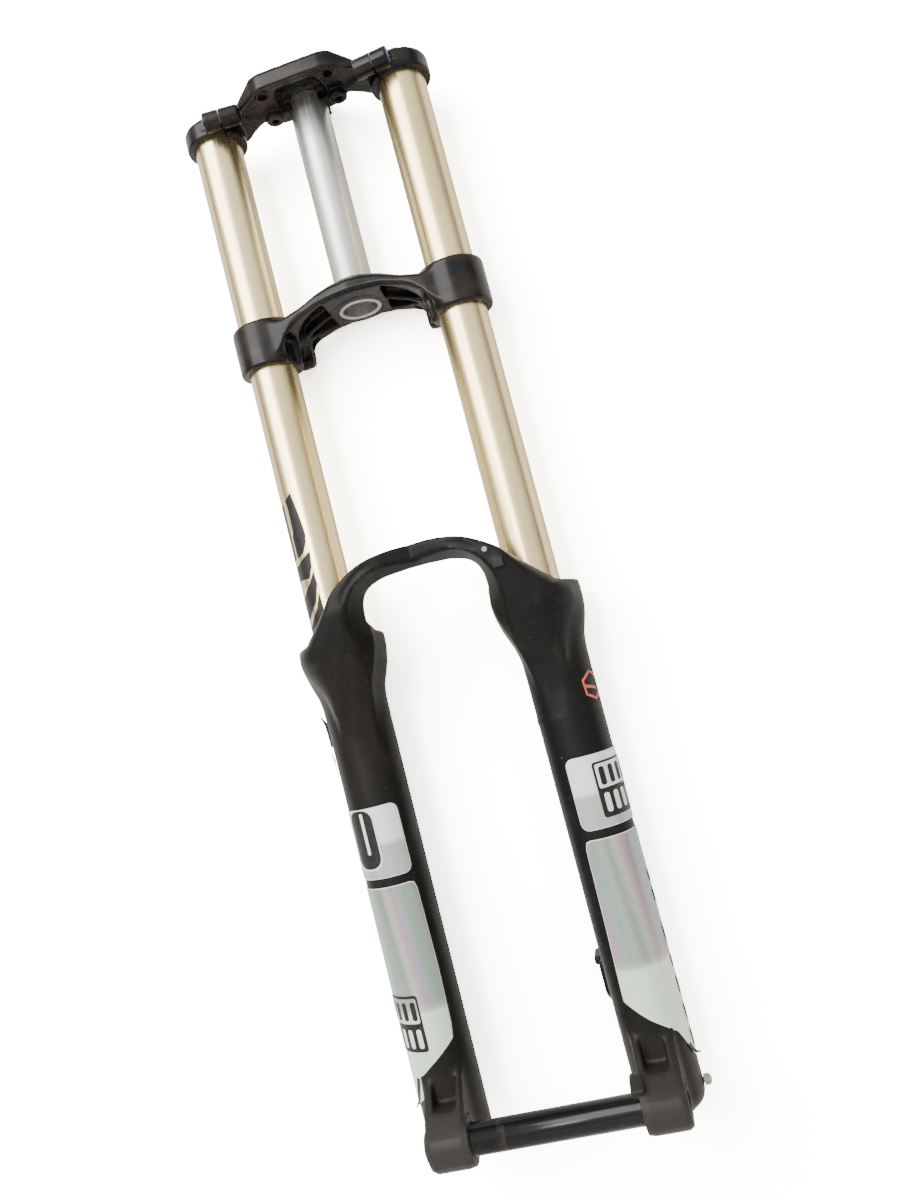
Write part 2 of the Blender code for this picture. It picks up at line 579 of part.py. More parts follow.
def build_lower_casting(parent):
    casting = turned("lower_casting", leg_profile(),
                     at=(-STANCHION_X, STANCHION_Y, 0), steps=TUBE_STEPS)
    left_leg = turned("left_leg", leg_profile(), at=(STANCHION_X, STANCHION_Y, 0))
    boolean(casting, link_tool(arch_solid()), "UNION")
    boolean(casting, link_tool(left_leg), "UNION")
    for side, s in SIDES.items():
        low, high = sorted((s * BOSS_X[0], s * BOSS_X[1]))
        web = plate(f"dropout_{side}", dropout_outline(), low, high, "YZ")
        bevel(web, 2.0 * MM, 1, 40)
        boolean(casting, link_tool(web), "UNION")
        flange = rod(f"hub_seat_{side}", 15.4 * MM, HUB_HALF, 62 * MM,
                     at=(0, AXLE_Y, AXLE_Z), axis="X" if s > 0 else "-X")
        boolean(casting, link_tool(flange), "UNION")
        low, high = sorted((s * 51.2 * MM, s * 60 * MM))
        lip = plate(f"hub_lip_{side}",
                    scaled(arc((AXLE_Y / MM, AXLE_Z / MM), 21.0, 60, 125, 4)
                           + arc((AXLE_Y / MM, AXLE_Z / MM), 12.0, 125, 60, 3)),
                    low, high, "YZ")
        boolean(casting, link_tool(lip), "UNION")
    for i, z in enumerate(POST_Z):
        post = block(f"brake_post_{i}", (POST_INNER_X[i], -6 * MM, z - POST_HALF),
                     (POST_OUTER_X, POST_FACE_Y, z + POST_HALF))
        bevel(post, 4.0 * MM, 1, 40)
        boolean(casting, link_tool(post), "UNION")
    lip = block("brake_post_lip", (POST_LIP_X, 0, POST_Z[0] + 7.5 * MM),
                (POST_BOLT_X, POST_FACE_Y - 3 * MM, POST_Z[0] + 12.2 * MM))
    bevel(lip, 1.0 * MM, 1, 40)
    boolean(casting, link_tool(lip), "UNION")
    for side, s in SIDES.items():
        at = (s * STANCHION_X, STANCHION_Y, 0)
        bore = turned(f"leg_bore_{side}", bore_profile(), at=at)
        boolean(casting, link_tool(bore), "DIFFERENCE")
        axle_hole = rod(f"axle_hole_{side}", AXLE_R + GAP, 40 * MM, 100 * MM,
                        at=(0, AXLE_Y, AXLE_Z), axis="X" if s > 0 else "-X", steps=24)
        boolean(casting, link_tool(axle_hole), "DIFFERENCE")
        low, high = sorted((s * POCKET_X[0], s * POCKET_X[1]))
        pocket = plate(f"dropout_pocket_{side}",
                       scaled([(-70, -565.5), (-34.2, -565.5), (-34.2, -525), (-70, -525)]),
                       low, high, "YZ")
        boolean(casting, link_tool(pocket), "DIFFERENCE")
    for i, z in enumerate(POST_Z):
        hole = rod(f"post_hole_{i}", POST_BOLT_R, 14 * MM, 30 * MM, at=(POST_BOLT_X, 0, z),
                   axis="Y", steps=SMALL_STEPS)
        boolean(casting, link_tool(hole), "DIFFERENCE")
    side_screw_hole = rod("side_screw_hole", SIDE_SCREW_R + GAP, 92 * MM, 110 * MM,
                          at=(0, STANCHION_Y, SIDE_SCREW_Z), axis="X", steps=SMALL_STEPS)
    boolean(casting, link_tool(side_screw_hole), "DIFFERENCE")
    x, z = GUIDE_SCREW_AT
    hole = rod("guide_hole", 1.8 * MM, -70 * MM, -48 * MM, at=(x, 0, z), axis="Y",
               steps=SMALL_STEPS)
    boolean(casting, link_tool(hole), "DIFFERENCE")
    link_part(casting, "black_magnesium", parent)


def build_seals_and_bushings(parent):
    wiper = [(19.6, -254.0), (23.1, -256.0), (23.1, -261.6), (19.2, -261.6), (17.55, -258.0),
             (18.3, -254.0)]
    for side, s in SIDES.items():
        at = (s * STANCHION_X, STANCHION_Y, 0)
        seal = turned(f"wiper_seal_{side}", scaled(wiper), at, ring=True)
        link_part(seal, "rubber", parent)
        foam = tube(f"foam_ring_{side}", 18.7 * MM, 17.6 * MM, -270 * MM, -262.4 * MM, at=at)
        link_part(foam, "foam", parent)
        for label, low, high in (("upper", -292, -272), ("lower", -350, -326)):
            bush = tube(f"{label}_bushing_{side}", 18.7 * MM, 17.56 * MM, low * MM,
                        high * MM, at=at)
            link_part(bush, "bushing_polymer", parent)


def build_lower_internals(parent):
    """Shafts from the feet up into the stanchions, their pistons and foot bolts."""
    inner = STANCHION_R - STANCHION_WALL
    for side, shaft_name, piston_name in (("right", "damper_shaft", "rebound_piston"),
                                          ("left", "air_shaft", "air_piston")):
        at = (SIDES[side] * STANCHION_X, STANCHION_Y, 0)
        top = PISTON_Z[1] + 6 * MM
        shaft = turned(shaft_name,
                       [(0, top), (3 * MM, top), (3 * MM, PISTON_Z[0]), (SHAFT_R, PISTON_Z[0]),
                        (SHAFT_R, FOOT_TOP + 8 * MM), (8 * MM, FOOT_TOP + 7 * MM),
                        (8 * MM, FOOT_TOP + GAP), (2.3 * MM, FOOT_TOP + GAP),
                        (2.3 * MM, FOOT_TOP + 14 * MM), (0, FOOT_TOP + 14 * MM)],
                       at, steps=20)
        link_part(shaft, "steel", parent)
        low, high = PISTON_Z
        outer = inner - 0.1 * MM
        groove = outer - 1.6 * MM
        piston = turned(piston_name,
                        [(outer, high), (outer, high - 5 * MM), (groove, high - 5 * MM),
                         (groove, high - 10 * MM), (outer, high - 10 * MM),
                         (outer, low + GAP), (3.3 * MM, low + GAP), (3.3 * MM, high)],
                        at, ring=True)
        link_part(piston, "bare_aluminium", parent)
        bumper = tube(f"bottom_out_bumper_{side}", 13 * MM, SHAFT_R + GAP,
                      FOOT_TOP + 8.5 * MM, FOOT_TOP + 14 * MM, at=at)
        link_part(bumper, "rubber", parent)
        washer = tube(f"crush_washer_{side}", 8.2 * MM, 4.3 * MM, -592 * MM, -590.3 * MM,
                      at=at, steps=20)
        link_part(washer, "bushing_polymer", parent)
        foot = turned(f"foot_bolt_{side}",
                      [(2 * MM, -560 * MM), (2 * MM, FOOT_TOP), (4 * MM, FOOT_TOP - GAP),
                       (4 * MM, -592.3 * MM), (7.6 * MM, -592.3 * MM), (7.6 * MM, -599 * MM),
                       (3.1 * MM, -599 * MM), (3.1 * MM, -594 * MM), (1.2 * MM, -594 * MM),
                       (1.2 * MM, -560 * MM)],
                      at, ring=True, steps=20)
        link_part(foot, "black_anodised", parent)


def build_hose_guide(parent):
    front = ARCH_FRONT
    x, z = GUIDE_AT
    guide = block("hose_guide", (x - 3.4 * MM, front - 3.2 * MM, z - 3.4 * MM),
                  (x + 3.4 * MM, front - GAP, z + 3.4 * MM))
    bevel(guide, 1.4 * MM, 2)
    link_part(guide, "rubber", parent)
    screw = turned("hose_guide_screw",
                   [(0, 1.6 * MM), (1.9 * MM, 1.6 * MM), (2.5 * MM, 0.9 * MM), (2.5 * MM, 0),
                    (1.5 * MM, 0), (1.5 * MM, -7 * MM), (0, -7 * MM)], steps=SMALL_STEPS)
    x, z = GUIDE_SCREW_AT
    screw.matrix_basis = (Matrix.Translation((x, front - GAP, z))
                          @ Matrix.Rotation(pi / 2, 4, "X"))
    link_part(screw, "bare_aluminium", parent)


def build_side_screw(parent):
    """Round-headed screw on the outside of the left leg's foot."""
    seat = STANCHION_X + LEG_END_R + GAP - 0.2 * MM
    profile = [(0, 5.4), (2.0, 5.2), (3.2, 4.2), (3.6, 2.8), (3.6, 0.3), (1.7, 0.0),
               (1.7, -1.9), (0, -1.9)]
    screw = turned("leg_side_screw", scaled(profile), (seat, STANCHION_Y, SIDE_SCREW_Z), "X",
                   SMALL_STEPS)
    link_part(screw, "steel", parent)


# ---------------------------------------------------------------- axle and knobs
def build_axle():
    """Through axle: its head is at the rider's right, its thread at the left."""
    empty = joint_empty("axle_pivot", (0, AXLE_Y, AXLE_Z))
    profile = [(9.2, -86.0), (AXLE_R / MM, -85.0), (AXLE_R / MM, 83.0), (9.3, 84.5),
               (6.6, 84.5), (6.6, -80.0), (5.0, -80.0), (5.0, -86.0)]
    outer = [(r * MM, -h * MM) for r, h in profile]
    axle = turned("through_axle", outer, at=(0, AXLE_Y, AXLE_Z), axis="-X", ring=True)
    link_part(axle, "black_anodised", empty)


def ribbed_knob(name, kind, radius, low, high, at, shaft_r, shaft_end):
    """A knob with grip flats round its rim and a stub that turns the valve inside."""
    empty = joint_empty(f"{name}_pivot", at)
    ribs = 12
    ring = []
    for i in range(ribs * 2):
        r = radius if i % 2 == 0 else radius * 0.9
        angle = pi * i / ribs
        ring.append((at[0] + r * cos(angle), at[1] + r * sin(angle)))
    knob = loft(name, [[(x, y, low) for x, y in ring], [(x, y, high) for x, y in ring]])
    stub_low, stub_high = sorted((shaft_end, (low + high) / 2))
    stub = rod(f"{name}_stub", shaft_r, stub_low, stub_high, at=(at[0], at[1], 0), steps=12)
    boolean(knob, link_tool(stub), "UNION")
    link_part(knob, kind, empty)


def build_knobs():
    seat = STANCHION_TOP + GAP
    ribbed_knob("compression_knob", "blue_anodised", 5.9 * MM, seat - 4 * MM, seat + 3.0 * MM,
                (-STANCHION_X, STANCHION_Y, seat), 3 * MM, seat - 11 * MM)
    ribbed_knob("rebound_knob", "red_anodised", 7.2 * MM, -602.4 * MM, -599.4 * MM,
                (-STANCHION_X, STANCHION_Y, -601 * MM), 2.7 * MM, -594.4 * MM)


clear_scene()
PARTS = make_collection("suspension_fork")
TOOLS = make_collection("cutters")

build_steerer()
build_stanchions()
build_lower_crown()
build_upper_crown()
build_top_caps()
build_upper_internals()
LOWERS = joint_empty("fork_travel_pivot", (0, STANCHION_Y, TRAVEL_TOP_OF_LEGS))
build_lower_casting(LOWERS)
build_seals_and_bushings(LOWERS)
build_lower_internals(LOWERS)
build_hose_guide(LOWERS)
build_side_screw(LOWERS)
build_axle()
build_knobs()
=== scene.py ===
"""Looks of a dual-crown suspension fork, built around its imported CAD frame.

Shapes are in millimetres, which MM turns into metres as each mesh is made; materials,
lights and the stage are in metres. The origin is on the steerer axis at the lower
crown's bearing seat; +Z runs up the steerer, -Y is forward and +X is the rider's left.
Cast and forged bodies are signed distance fields: a field is a function of x, y, z
that is negative inside the body.
"""

from contextlib import contextmanager
from math import cos, pi, radians, sin

import bmesh
import bpy
import numpy as np
from mathutils import Matrix, Vector
from mathutils.geometry import delaunay_2d_cdt


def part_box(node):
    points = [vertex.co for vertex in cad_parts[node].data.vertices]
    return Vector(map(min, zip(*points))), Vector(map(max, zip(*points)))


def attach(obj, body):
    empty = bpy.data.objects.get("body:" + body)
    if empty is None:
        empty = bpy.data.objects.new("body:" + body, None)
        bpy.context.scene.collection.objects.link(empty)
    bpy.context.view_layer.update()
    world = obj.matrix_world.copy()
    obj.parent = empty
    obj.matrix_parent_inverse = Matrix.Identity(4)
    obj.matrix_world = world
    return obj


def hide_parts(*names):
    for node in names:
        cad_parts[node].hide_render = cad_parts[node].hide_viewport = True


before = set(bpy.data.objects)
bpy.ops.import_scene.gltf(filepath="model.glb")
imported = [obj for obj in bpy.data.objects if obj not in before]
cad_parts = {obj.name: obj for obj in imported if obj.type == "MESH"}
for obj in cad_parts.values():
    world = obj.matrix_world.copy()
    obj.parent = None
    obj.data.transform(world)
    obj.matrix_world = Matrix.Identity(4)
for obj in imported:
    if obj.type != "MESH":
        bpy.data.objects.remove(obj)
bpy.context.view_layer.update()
MM = 0.001


# ---------------------------------------------------------------- sizes from the frame
def node_box(node):
    low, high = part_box(node)
    return low / MM, high / MM


def node_centre(node):
    low, high = node_box(node)
    return (low + high) / 2


TUBE_LOW, TUBE_HIGH = node_box("stanchion_left")
STANCHION_R = (TUBE_HIGH.x - TUBE_LOW.x) / 2
STANCHION_X = (TUBE_HIGH.x + TUBE_LOW.x) / 2
STANCHION_Y = (TUBE_HIGH.y + TUBE_LOW.y) / 2
STANCHION_WALL = 1.6
CAP_SEAT = TUBE_HIGH.z
AXLE_LOW, AXLE_HIGH = node_box("through_axle")
AXLE = (AXLE_LOW + AXLE_HIGH) / 2
AXLE_R = (AXLE_HIGH.z - AXLE_LOW.z) / 2
CASTING_LOW, CASTING_HIGH = node_box("lower_casting")
LEG_BOTTOM = CASTING_LOW.z
ARCH_TOP = CASTING_HIGH.z
LEG_TOP = ARCH_TOP - 50.2
BOSS_R = AXLE_R + 6.0
FIT = 0.3
BOLT_R = 3.0
HEAD_R = 4.8
SIDES = {"right": -1, "left": 1}      # the rider's right leg stands at -X


def leg_at(side):
    return (SIDES[side] * STANCHION_X, STANCHION_Y, 0)


# ---------------------------------------------------------------- distance fields
def blend_union(a, b, width):
    """Joins two fields with a fillet about as wide as `width`, which may vary."""
    h = np.clip(0.5 + 0.5 * (b - a) / width, 0, 1)
    return b + (a - b) * h - width * h * (1 - h)


def blend_meet(a, b, width):
    """Keeps what is inside both fields, with a rounded edge."""
    return -blend_union(-a, -b, width)


def blend_cut(a, b, width):
    """Cuts field b out of field a, with a rounded edge."""
    return blend_meet(a, -b, width)


def slab(value, low, high, width=1.0):
    """Between two planes across one coordinate."""
    return blend_meet(low - value, value - high, width)


def smooth_outline(points, steps=5, closed=True):
    """A Catmull-Rom curve through the points of an outline."""
    count = len(points)
    p = np.array(points, float)
    curve = []
    for i in range(count if closed else count - 1):
        picks = [i - 1, i, i + 1, i + 2]
        a, b, c, d = (p[k % count] if closed else p[min(max(k, 0), count - 1)] for k in picks)
        for j in range(steps):
            t = j / steps
            curve.append(0.5 * (2 * b + (c - a) * t + (2 * a - 5 * b + 4 * c - d) * t ** 2
                                + (3 * b - a - 3 * c + d) * t ** 3))
    if not closed:
        curve.append(p[-1])
    return [tuple(q) for q in curve]


def outline_distance(u, v, outline):
    """Signed distance to a closed outline, negative inside it."""
    nearest = np.full(np.broadcast(u, v).shape, np.inf, np.float32)
    inside = np.zeros(nearest.shape, bool)
    for (ax, ay), (bx, by) in zip(outline, outline[1:] + outline[:1]):
        ex, ey = bx - ax, by - ay
        if ex * ex + ey * ey < 1e-9:
            continue
        t = np.clip(((u - ax) * ex + (v - ay) * ey) / (ex * ex + ey * ey), 0, 1)
        nearest = np.minimum(nearest, (u - ax - t * ex) ** 2 + (v - ay - t * ey) ** 2)
        if ey:
            spans = (v < ay) != (v < by)
            inside ^= spans & (u < ax + (v - ay) * ex / ey)
    distance = np.sqrt(nearest)
    return np.where(inside, -distance, distance)


class Stencil:
    """An outline's distance, kept on a fine grid so that it is quick to look up."""

    def __init__(self, outline, step=0.5, margin=40.0):
        self.low = np.min(outline, 0) - margin
        size = np.max(outline, 0) + margin - self.low
        self.step = step
        self.count = np.ceil(size / step).astype(int) + 2
        u = self.low[0] + step * np.arange(self.count[0])[:, None]
        v = self.low[1] + step * np.arange(self.count[1])[None, :]
        self.table = outline_distance(u, v, outline).astype(np.float32)

    def __call__(self, u, v):
        a = np.clip((u - self.low[0]) / self.step, 0, self.count[0] - 1.001)
        b = np.clip((v - self.low[1]) / self.step, 0, self.count[1] - 1.001)
        i, j = a.astype(int), b.astype(int)
        s, t = a - i, b - j
        table = self.table
        low = table[i, j] * (1 - t) + table[i, j + 1] * t
        high = table[i + 1, j] * (1 - t) + table[i + 1, j + 1] * t
        return low * (1 - s) + high * s


def rounded_profile(points, spread=3.0):
    """Turns (height, value) points into a smooth function of height."""
    heights, values = np.array(sorted(points), float).T
    fine = np.arange(heights[0] - 4 * spread, heights[-1] + 4 * spread, 0.5)
    kernel = np.hanning(int(4 * spread) + 3)
    table = np.convolve(np.pad(np.interp(fine, heights, values), len(kernel) // 2, "edge"),
                        kernel / kernel.sum(), "valid")
    return lambda height: np.interp(height, fine, table)


CORNERS = np.array([(a, b, c) for a in (0, 1) for b in (0, 1) for c in (0, 1)])


def filled_corners(inside):
    """How many of its eight corners every cell has inside the body."""
    n = [length - 1 for length in inside.shape]
    return sum(inside[a:a + n[0], b:b + n[1], c:c + n[2]].astype(int) for a, b, c in CORNERS)


def settled(values):
    """Fills corners where a surface would touch itself, so that its net stays closed."""
    for _ in range(12):
        inside = values < 0
        before = inside.sum()
        for axis in range(3):
            u, v = [k for k in range(3) if k != axis]
            views = []
            for du in (0, 1):
                for dv in (0, 1):
                    pick = [slice(None)] * 3
                    pick[u] = slice(du, inside.shape[u] - 1 + du)
                    pick[v] = slice(dv, inside.shape[v] - 1 + dv)
                    views.append(tuple(pick))
            a, b, c, d = (inside[pick] for pick in views)
            odd = (a == d) & (b == c) & (a != b)
            for pick in views:
                part = values[pick]
                part[odd & (part >= 0)] = -1e-3
        if (values < 0).sum() == before:
            break
    return values


def surface_net(field, low, high, step):
    """Quad mesh of a field's surface, with its points drawn onto the surface itself."""
    low, high = np.array(low, float), np.array(high, float)
    count = np.ceil((high - low) / step).astype(int) + 1
    x, y, z = (low[i] + step * np.arange(count[i]) for i in range(3))
    values = np.empty(count, np.float32)
    for start in range(0, count[2], 32):
        part = slice(start, start + 32)
        values[:, :, part] = field(x[:, None, None], y[None, :, None], z[None, None, part])
    values = settled(values)
    inside = values < 0
    filled = filled_corners(inside)
    cells = np.argwhere((filled > 0) & (filled < 8))
    index = np.full(filled.shape, -1, np.int64)
    index[tuple(cells.T)] = np.arange(len(cells))
    points = low + step * (cells + crossing_means(values, cells))
    return drawn_to_surface(field, points, step), net_quads(inside, index)


def crossing_means(values, cells):
    """Mean of the places where the surface crosses each cell's edges, in steps."""
    total = np.zeros((len(cells), 3))
    hits = np.zeros(len(cells))
    at_corner = [values[tuple((cells + corner).T)] for corner in CORNERS]
    for i, a in enumerate(CORNERS):
        for j, b in enumerate(CORNERS):
            if j > i and np.abs(a - b).sum() == 1:
                va, vb = at_corner[i], at_corner[j]
                crossed = (va < 0) != (vb < 0)
                t = np.where(crossed, va / np.where(crossed, va - vb, 1), 0)[:, None]
                total += crossed[:, None] * (a + t * (b - a))
                hits += crossed
    return total / hits[:, None]


def net_quads(inside, index):
    """One face round every grid edge that the surface crosses."""
    quads = []
    for axis in range(3):
        other = [k for k in range(3) if k != axis]
        first = [slice(None)] * 3
        second = [slice(None)] * 3
        first[axis], second[axis] = slice(0, -1), slice(1, None)
        a, b = inside[tuple(first)], inside[tuple(second)]
        edges = np.argwhere(a != b)
        within = [(edges[:, k] > 0) & (edges[:, k] < inside.shape[k] - 1) for k in other]
        edges = edges[np.all(within, 0)]
        ring = []
        for du, dv in ((-1, -1), (0, -1), (0, 0), (-1, 0)):
            cell = edges.copy()
            cell[:, other[0]] += du
            cell[:, other[1]] += dv
            ring.append(index[tuple(cell.T)])
        quad = np.stack(ring, 1)
        flip = a[tuple(edges.T)] == (axis == 1)
        quad[flip] = quad[flip][:, ::-1]
        quads.append(quad)
    return np.concatenate(quads)


TETRA = np.array([(1, 1, 1), (1, -1, -1), (-1, 1, -1), (-1, -1, 1)], float)


def drawn_to_surface(field, points, step, rounds=3):
    """Moves points along the field's slope until they lie on its surface."""
    reach = 0.25 * step
    for _ in range(rounds):
        samples = [field(*(points + reach * t).T) for t in TETRA]
        value = sum(samples) / 4
        slope = sum(s[:, None] * t for s, t in zip(samples, TETRA)) / (4 * reach)
        size = np.maximum((slope ** 2).sum(1), 0.2)
        move = (-value / size)[:, None] * slope
        length = np.linalg.norm(move, axis=1)
        points = points + move * np.minimum(1, 0.5 * step / np.maximum(length, 1e-9))[:, None]
    return points


# ---------------------------------------------------------------- pieces
def linked(name, data):
    obj = bpy.data.objects.new(name, data)
    bpy.context.scene.collection.objects.link(obj)
    return obj


def mesh_object(name, points, faces):
    mesh = bpy.data.meshes.new(name)
    mesh.from_pydata([tuple(p) for p in points], [], [tuple(int(i) for i in f) for f in faces])
    mesh.validate()
    return linked(name, mesh)


def object_from(bm, name):
    mesh = bpy.data.meshes.new(name)
    bm.to_mesh(mesh)
    bm.free()
    return linked(name, mesh)


@contextmanager
def editing(obj):
    """Opens an object's mesh for changes and writes it back."""
    bm = bmesh.new()
    bm.from_mesh(obj.data)
    yield bm
    bm.to_mesh(obj.data)
    bm.free()


def cast_body(name, field, low, high, margin, step):
    """Meshes a field in a box that stands `margin` clear of the CAD's own."""
    points, quads = surface_net(field, [c - margin for c in low], [c + margin for c in high], step)
    return mesh_object(name, points * MM, quads)


def turned(name, profile, at=(0, 0, 0), turn=None, steps=96, ring=True):
    """Turns (radius, height) points round an axis; ring closes a hollow section."""
    points, faces = [], []
    count = len(profile)
    for i in range(steps):
        angle = 2 * pi * i / steps
        points += [(r * cos(angle), r * sin(angle), h) for r, h in profile]
    spans = range(count if ring else count - 1)
    for i in range(steps):
        a, b = i * count, (i + 1) % steps * count
        faces += [(a + k, b + k, b + (k + 1) % count, a + (k + 1) % count) for k in spans]
    bm = bmesh.new()
    verts = [bm.verts.new(p) for p in points]
    for face in faces:
        bm.faces.new([verts[i] for i in face])
    bmesh.ops.remove_doubles(bm, verts=bm.verts, dist=0.0005)
    bmesh.ops.recalc_face_normals(bm, faces=bm.faces)
    place = Matrix.Translation(Vector(at)) @ (turn or Matrix.Identity(4))
    bmesh.ops.transform(bm, matrix=Matrix.Scale(MM, 4) @ place, verts=bm.verts)
    return object_from(bm, name)


TO_X = Matrix.Rotation(pi / 2, 4, "Y")
TO_Y = Matrix.Rotation(-pi / 2, 4, "X")


def rod(name, radius, low, high, at=(0, 0, 0), turn=None, steps=64):
    low, high = sorted((low, high))
    profile = [(0, low), (radius, low), (radius, high), (0, high)]
    return turned(name, profile, at, turn, steps, ring=False)


def box_tool(name, low, high, place=None):
    bm = bmesh.new()
    bmesh.ops.create_cube(bm, size=1.0)
    size = [b - a for a, b in zip(low, high)]
    middle = [(a + b) / 2 for a, b in zip(low, high)]
    bmesh.ops.scale(bm, vec=size, verts=bm.verts)
    bmesh.ops.translate(bm, vec=middle, verts=bm.verts)
    bmesh.ops.transform(bm, matrix=Matrix.Scale(MM, 4) @ (place or Matrix.Identity(4)),
                        verts=bm.verts)
    return object_from(bm, name)


def cut(obj, tools):
    """Machines holes into a body: each tool is taken out of it and then removed."""
    for tool in tools:
        mod = obj.modifiers.new(tool.name, "BOOLEAN")
        mod.operation = "DIFFERENCE"
        mod.solver = "MANIFOLD"
        mod.object = tool
    graph = bpy.context.evaluated_depsgraph_get()
    mesh = bpy.data.meshes.new_from_object(obj.evaluated_get(graph))
    obj.modifiers.clear()
    old = obj.data
    obj.data = mesh
    bpy.data.meshes.remove(old)
    for tool in tools:
        bpy.data.objects.remove(tool)
    return obj


def finish_piece(obj, mat, body, stands_for=(), sharp=38):
    """Shades a piece, gives it its material and fixes it to its CAD body."""
    obj.data.shade_smooth()
    obj.data.set_sharp_from_angle(angle=radians(sharp))
    with editing(obj) as bm:
        bmesh.ops.triangulate(bm, faces=[face for face in bm.faces if len(face.verts) > 4])
    obj.data.materials.clear()
    obj.data.materials.append(mat)
    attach(obj, body)
    if stands_for:
        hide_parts(*stands_for)
    return obj


# ---------------------------------------------------------------- lower casting
leg_radius = rounded_profile(
    [(LEG_BOTTOM - 10, 22.4), (-592, 22.4), (-440, 22.4), (-310, 22.6), (-296, 22.9),
     (-288, 24.0), (-281, 26.3), (-274, 28.2), (-266, 28.9), (LEG_TOP + 10, 28.8)])
arch_front_face = rounded_profile(
    [(-340, -28), (-322, -31), (-306, -36), (-284, -44), (-256, -55), (-236, -59),
     (ARCH_TOP + 20, -59)], spread=5)
facet_depth = rounded_profile(
    [(-350, 23.6), (-338, 23.0), (-322, 22.0), (-302, 24.0), (-288, 31.0), (-270, 42.0),
     (-240, 60.0)], spread=4)
FACET_END = -337.0
SEAL_ROOM_R = 24.3
SEAL_POCKET_R = 23.5
SEAL_FLOOR = -262.0
LEG_BORE_R = 19.0
FOOT_FLOOR = -572.0
FOOT_SEAT = -590.0
ARCH_REAR_Y = -36.5
ARCH_FOOT_REAR_Y = -17.0
ARCH_FRONT_Y = -59.0


def both_halves(half):
    """An outline from its +X half, ordered from the middle outward and down."""
    return smooth_outline(half[::-1] + [(-x, z) for x, z in half[1:]], closed=False)


ARCH_OUTSIDE_FRONT = [(0, -202.8), (13, -203.6), (27, -206.2), (41, -211), (57, -221.5),
                      (68.5, -234.5), (84, -252), (90, -264), (82, -285), (76, -340)]
ARCH_INSIDE_FRONT = [(0, -211.8), (12, -212.2), (25, -214.2), (35.5, -218), (43.5, -224),
                     (49, -232), (53, -241), (56, -252), (59.5, -268), (62.5, -292),
                     (68, -340)]
ARCH_OUTSIDE_REAR = [(0, -204), (14, -204.6), (28, -206.8), (41, -210.2), (56, -219),
                     (70, -233), (90, -252.5), (94, -264), (84, -285), (78, -340)]
ARCH_INSIDE_REAR = [(0, -218.6), (11, -218.8), (24, -219.8), (33.5, -222.6), (39, -227),
                    (41.8, -234), (42.4, -243), (42, -254), (44.5, -268), (52, -292),
                    (63, -340)]


OUT_FRONT = Stencil(both_halves(ARCH_OUTSIDE_FRONT))
OUT_REAR = Stencil(both_halves(ARCH_OUTSIDE_REAR))
IN_FRONT = Stencil(both_halves(ARCH_INSIDE_FRONT))
IN_REAR = Stencil(both_halves(ARCH_INSIDE_REAR))


def arc_points(centre, radius, start, end, count):
    """Points along an arc between two angles in degrees, counted from the first axis."""
    angles = [radians(start + (end - start) * i / count) for i in range(count + 1)]
    return [(centre[0] + radius * cos(a), centre[1] + radius * sin(a)) for a in angles]


DROPOUT_SIDE = Stencil(
    [(-24, -541), (-30, -547), (-37, -554), (-47, -563.5)]
    + arc_points((AXLE.y, AXLE.z), BOSS_R, 148, 285, 16)
    + [(-24, -601.5), (-11, -600), (-11, -534)], step=0.4)
HUB_LIP = Stencil(arc_points((AXLE.y, AXLE.z), 20.5, 55, 130, 12)
                  + arc_points((AXLE.y, AXLE.z), 12.0, 130, 55, 8), step=0.4)
POST_Z = (-518.0, -443.8)
POST_INNER_X = (46.8, 50.5)
POST_HALF = 13.0
POST_FACE_Y = 23.9
POST_BOLT_X = 58.5
GUIDE_BOSSES = ((49.6, -221.6, 3.6), (56.0, -232.0, 4.4))


def arch_field(x, y, z):
    s = np.abs(x)
    t = np.clip((y - ARCH_FRONT_Y) / (ARCH_REAR_Y - ARCH_FRONT_Y), 0, 1)
    outside = OUT_FRONT(x, z) * (1 - t) + OUT_REAR(x, z) * t
    opening = IN_FRONT(x, z) * (1 - t) + IN_REAR(x, z) * t
    front = (arch_front_face(z) - y) * 0.92
    band = blend_cut(front, opening, np.interp(z, [-250, -222], [4.0, 1.2]))
    flare = np.interp(z, [-300, -268, -240, -222], [5.0, 22.0, 10.0, 1.6])
    band = blend_meet(band, outside, flare)
    # the hoop's rear slopes back to the leg's axis as it comes down to the leg
    rear = np.interp(z, [LEG_TOP + 1, LEG_TOP + 8], [ARCH_FOOT_REAR_Y, ARCH_REAR_Y])
    whole = blend_meet(band, (y - rear) * 0.7, 2.0)
    # the trough along the front of the hoop, open towards both webs
    rim = 2.6 + 5.0 * np.clip((s - 36) / 20, 0, 1)
    trough = blend_meet(OUT_FRONT(x, z) + rim, 1.7 - IN_FRONT(x, z), 0.8)
    trough = blend_meet(trough, np.maximum(x - 43, -52 - x), 3.0)
    trough = blend_meet(trough, -246 - z, 6.0)
    floor = y - (ARCH_FRONT_Y + 1.1 - 0.5 * np.clip((s - 30) / 20, 0, 1))
    return blend_cut(whole, blend_meet(trough, floor, 0.8), 0.8)


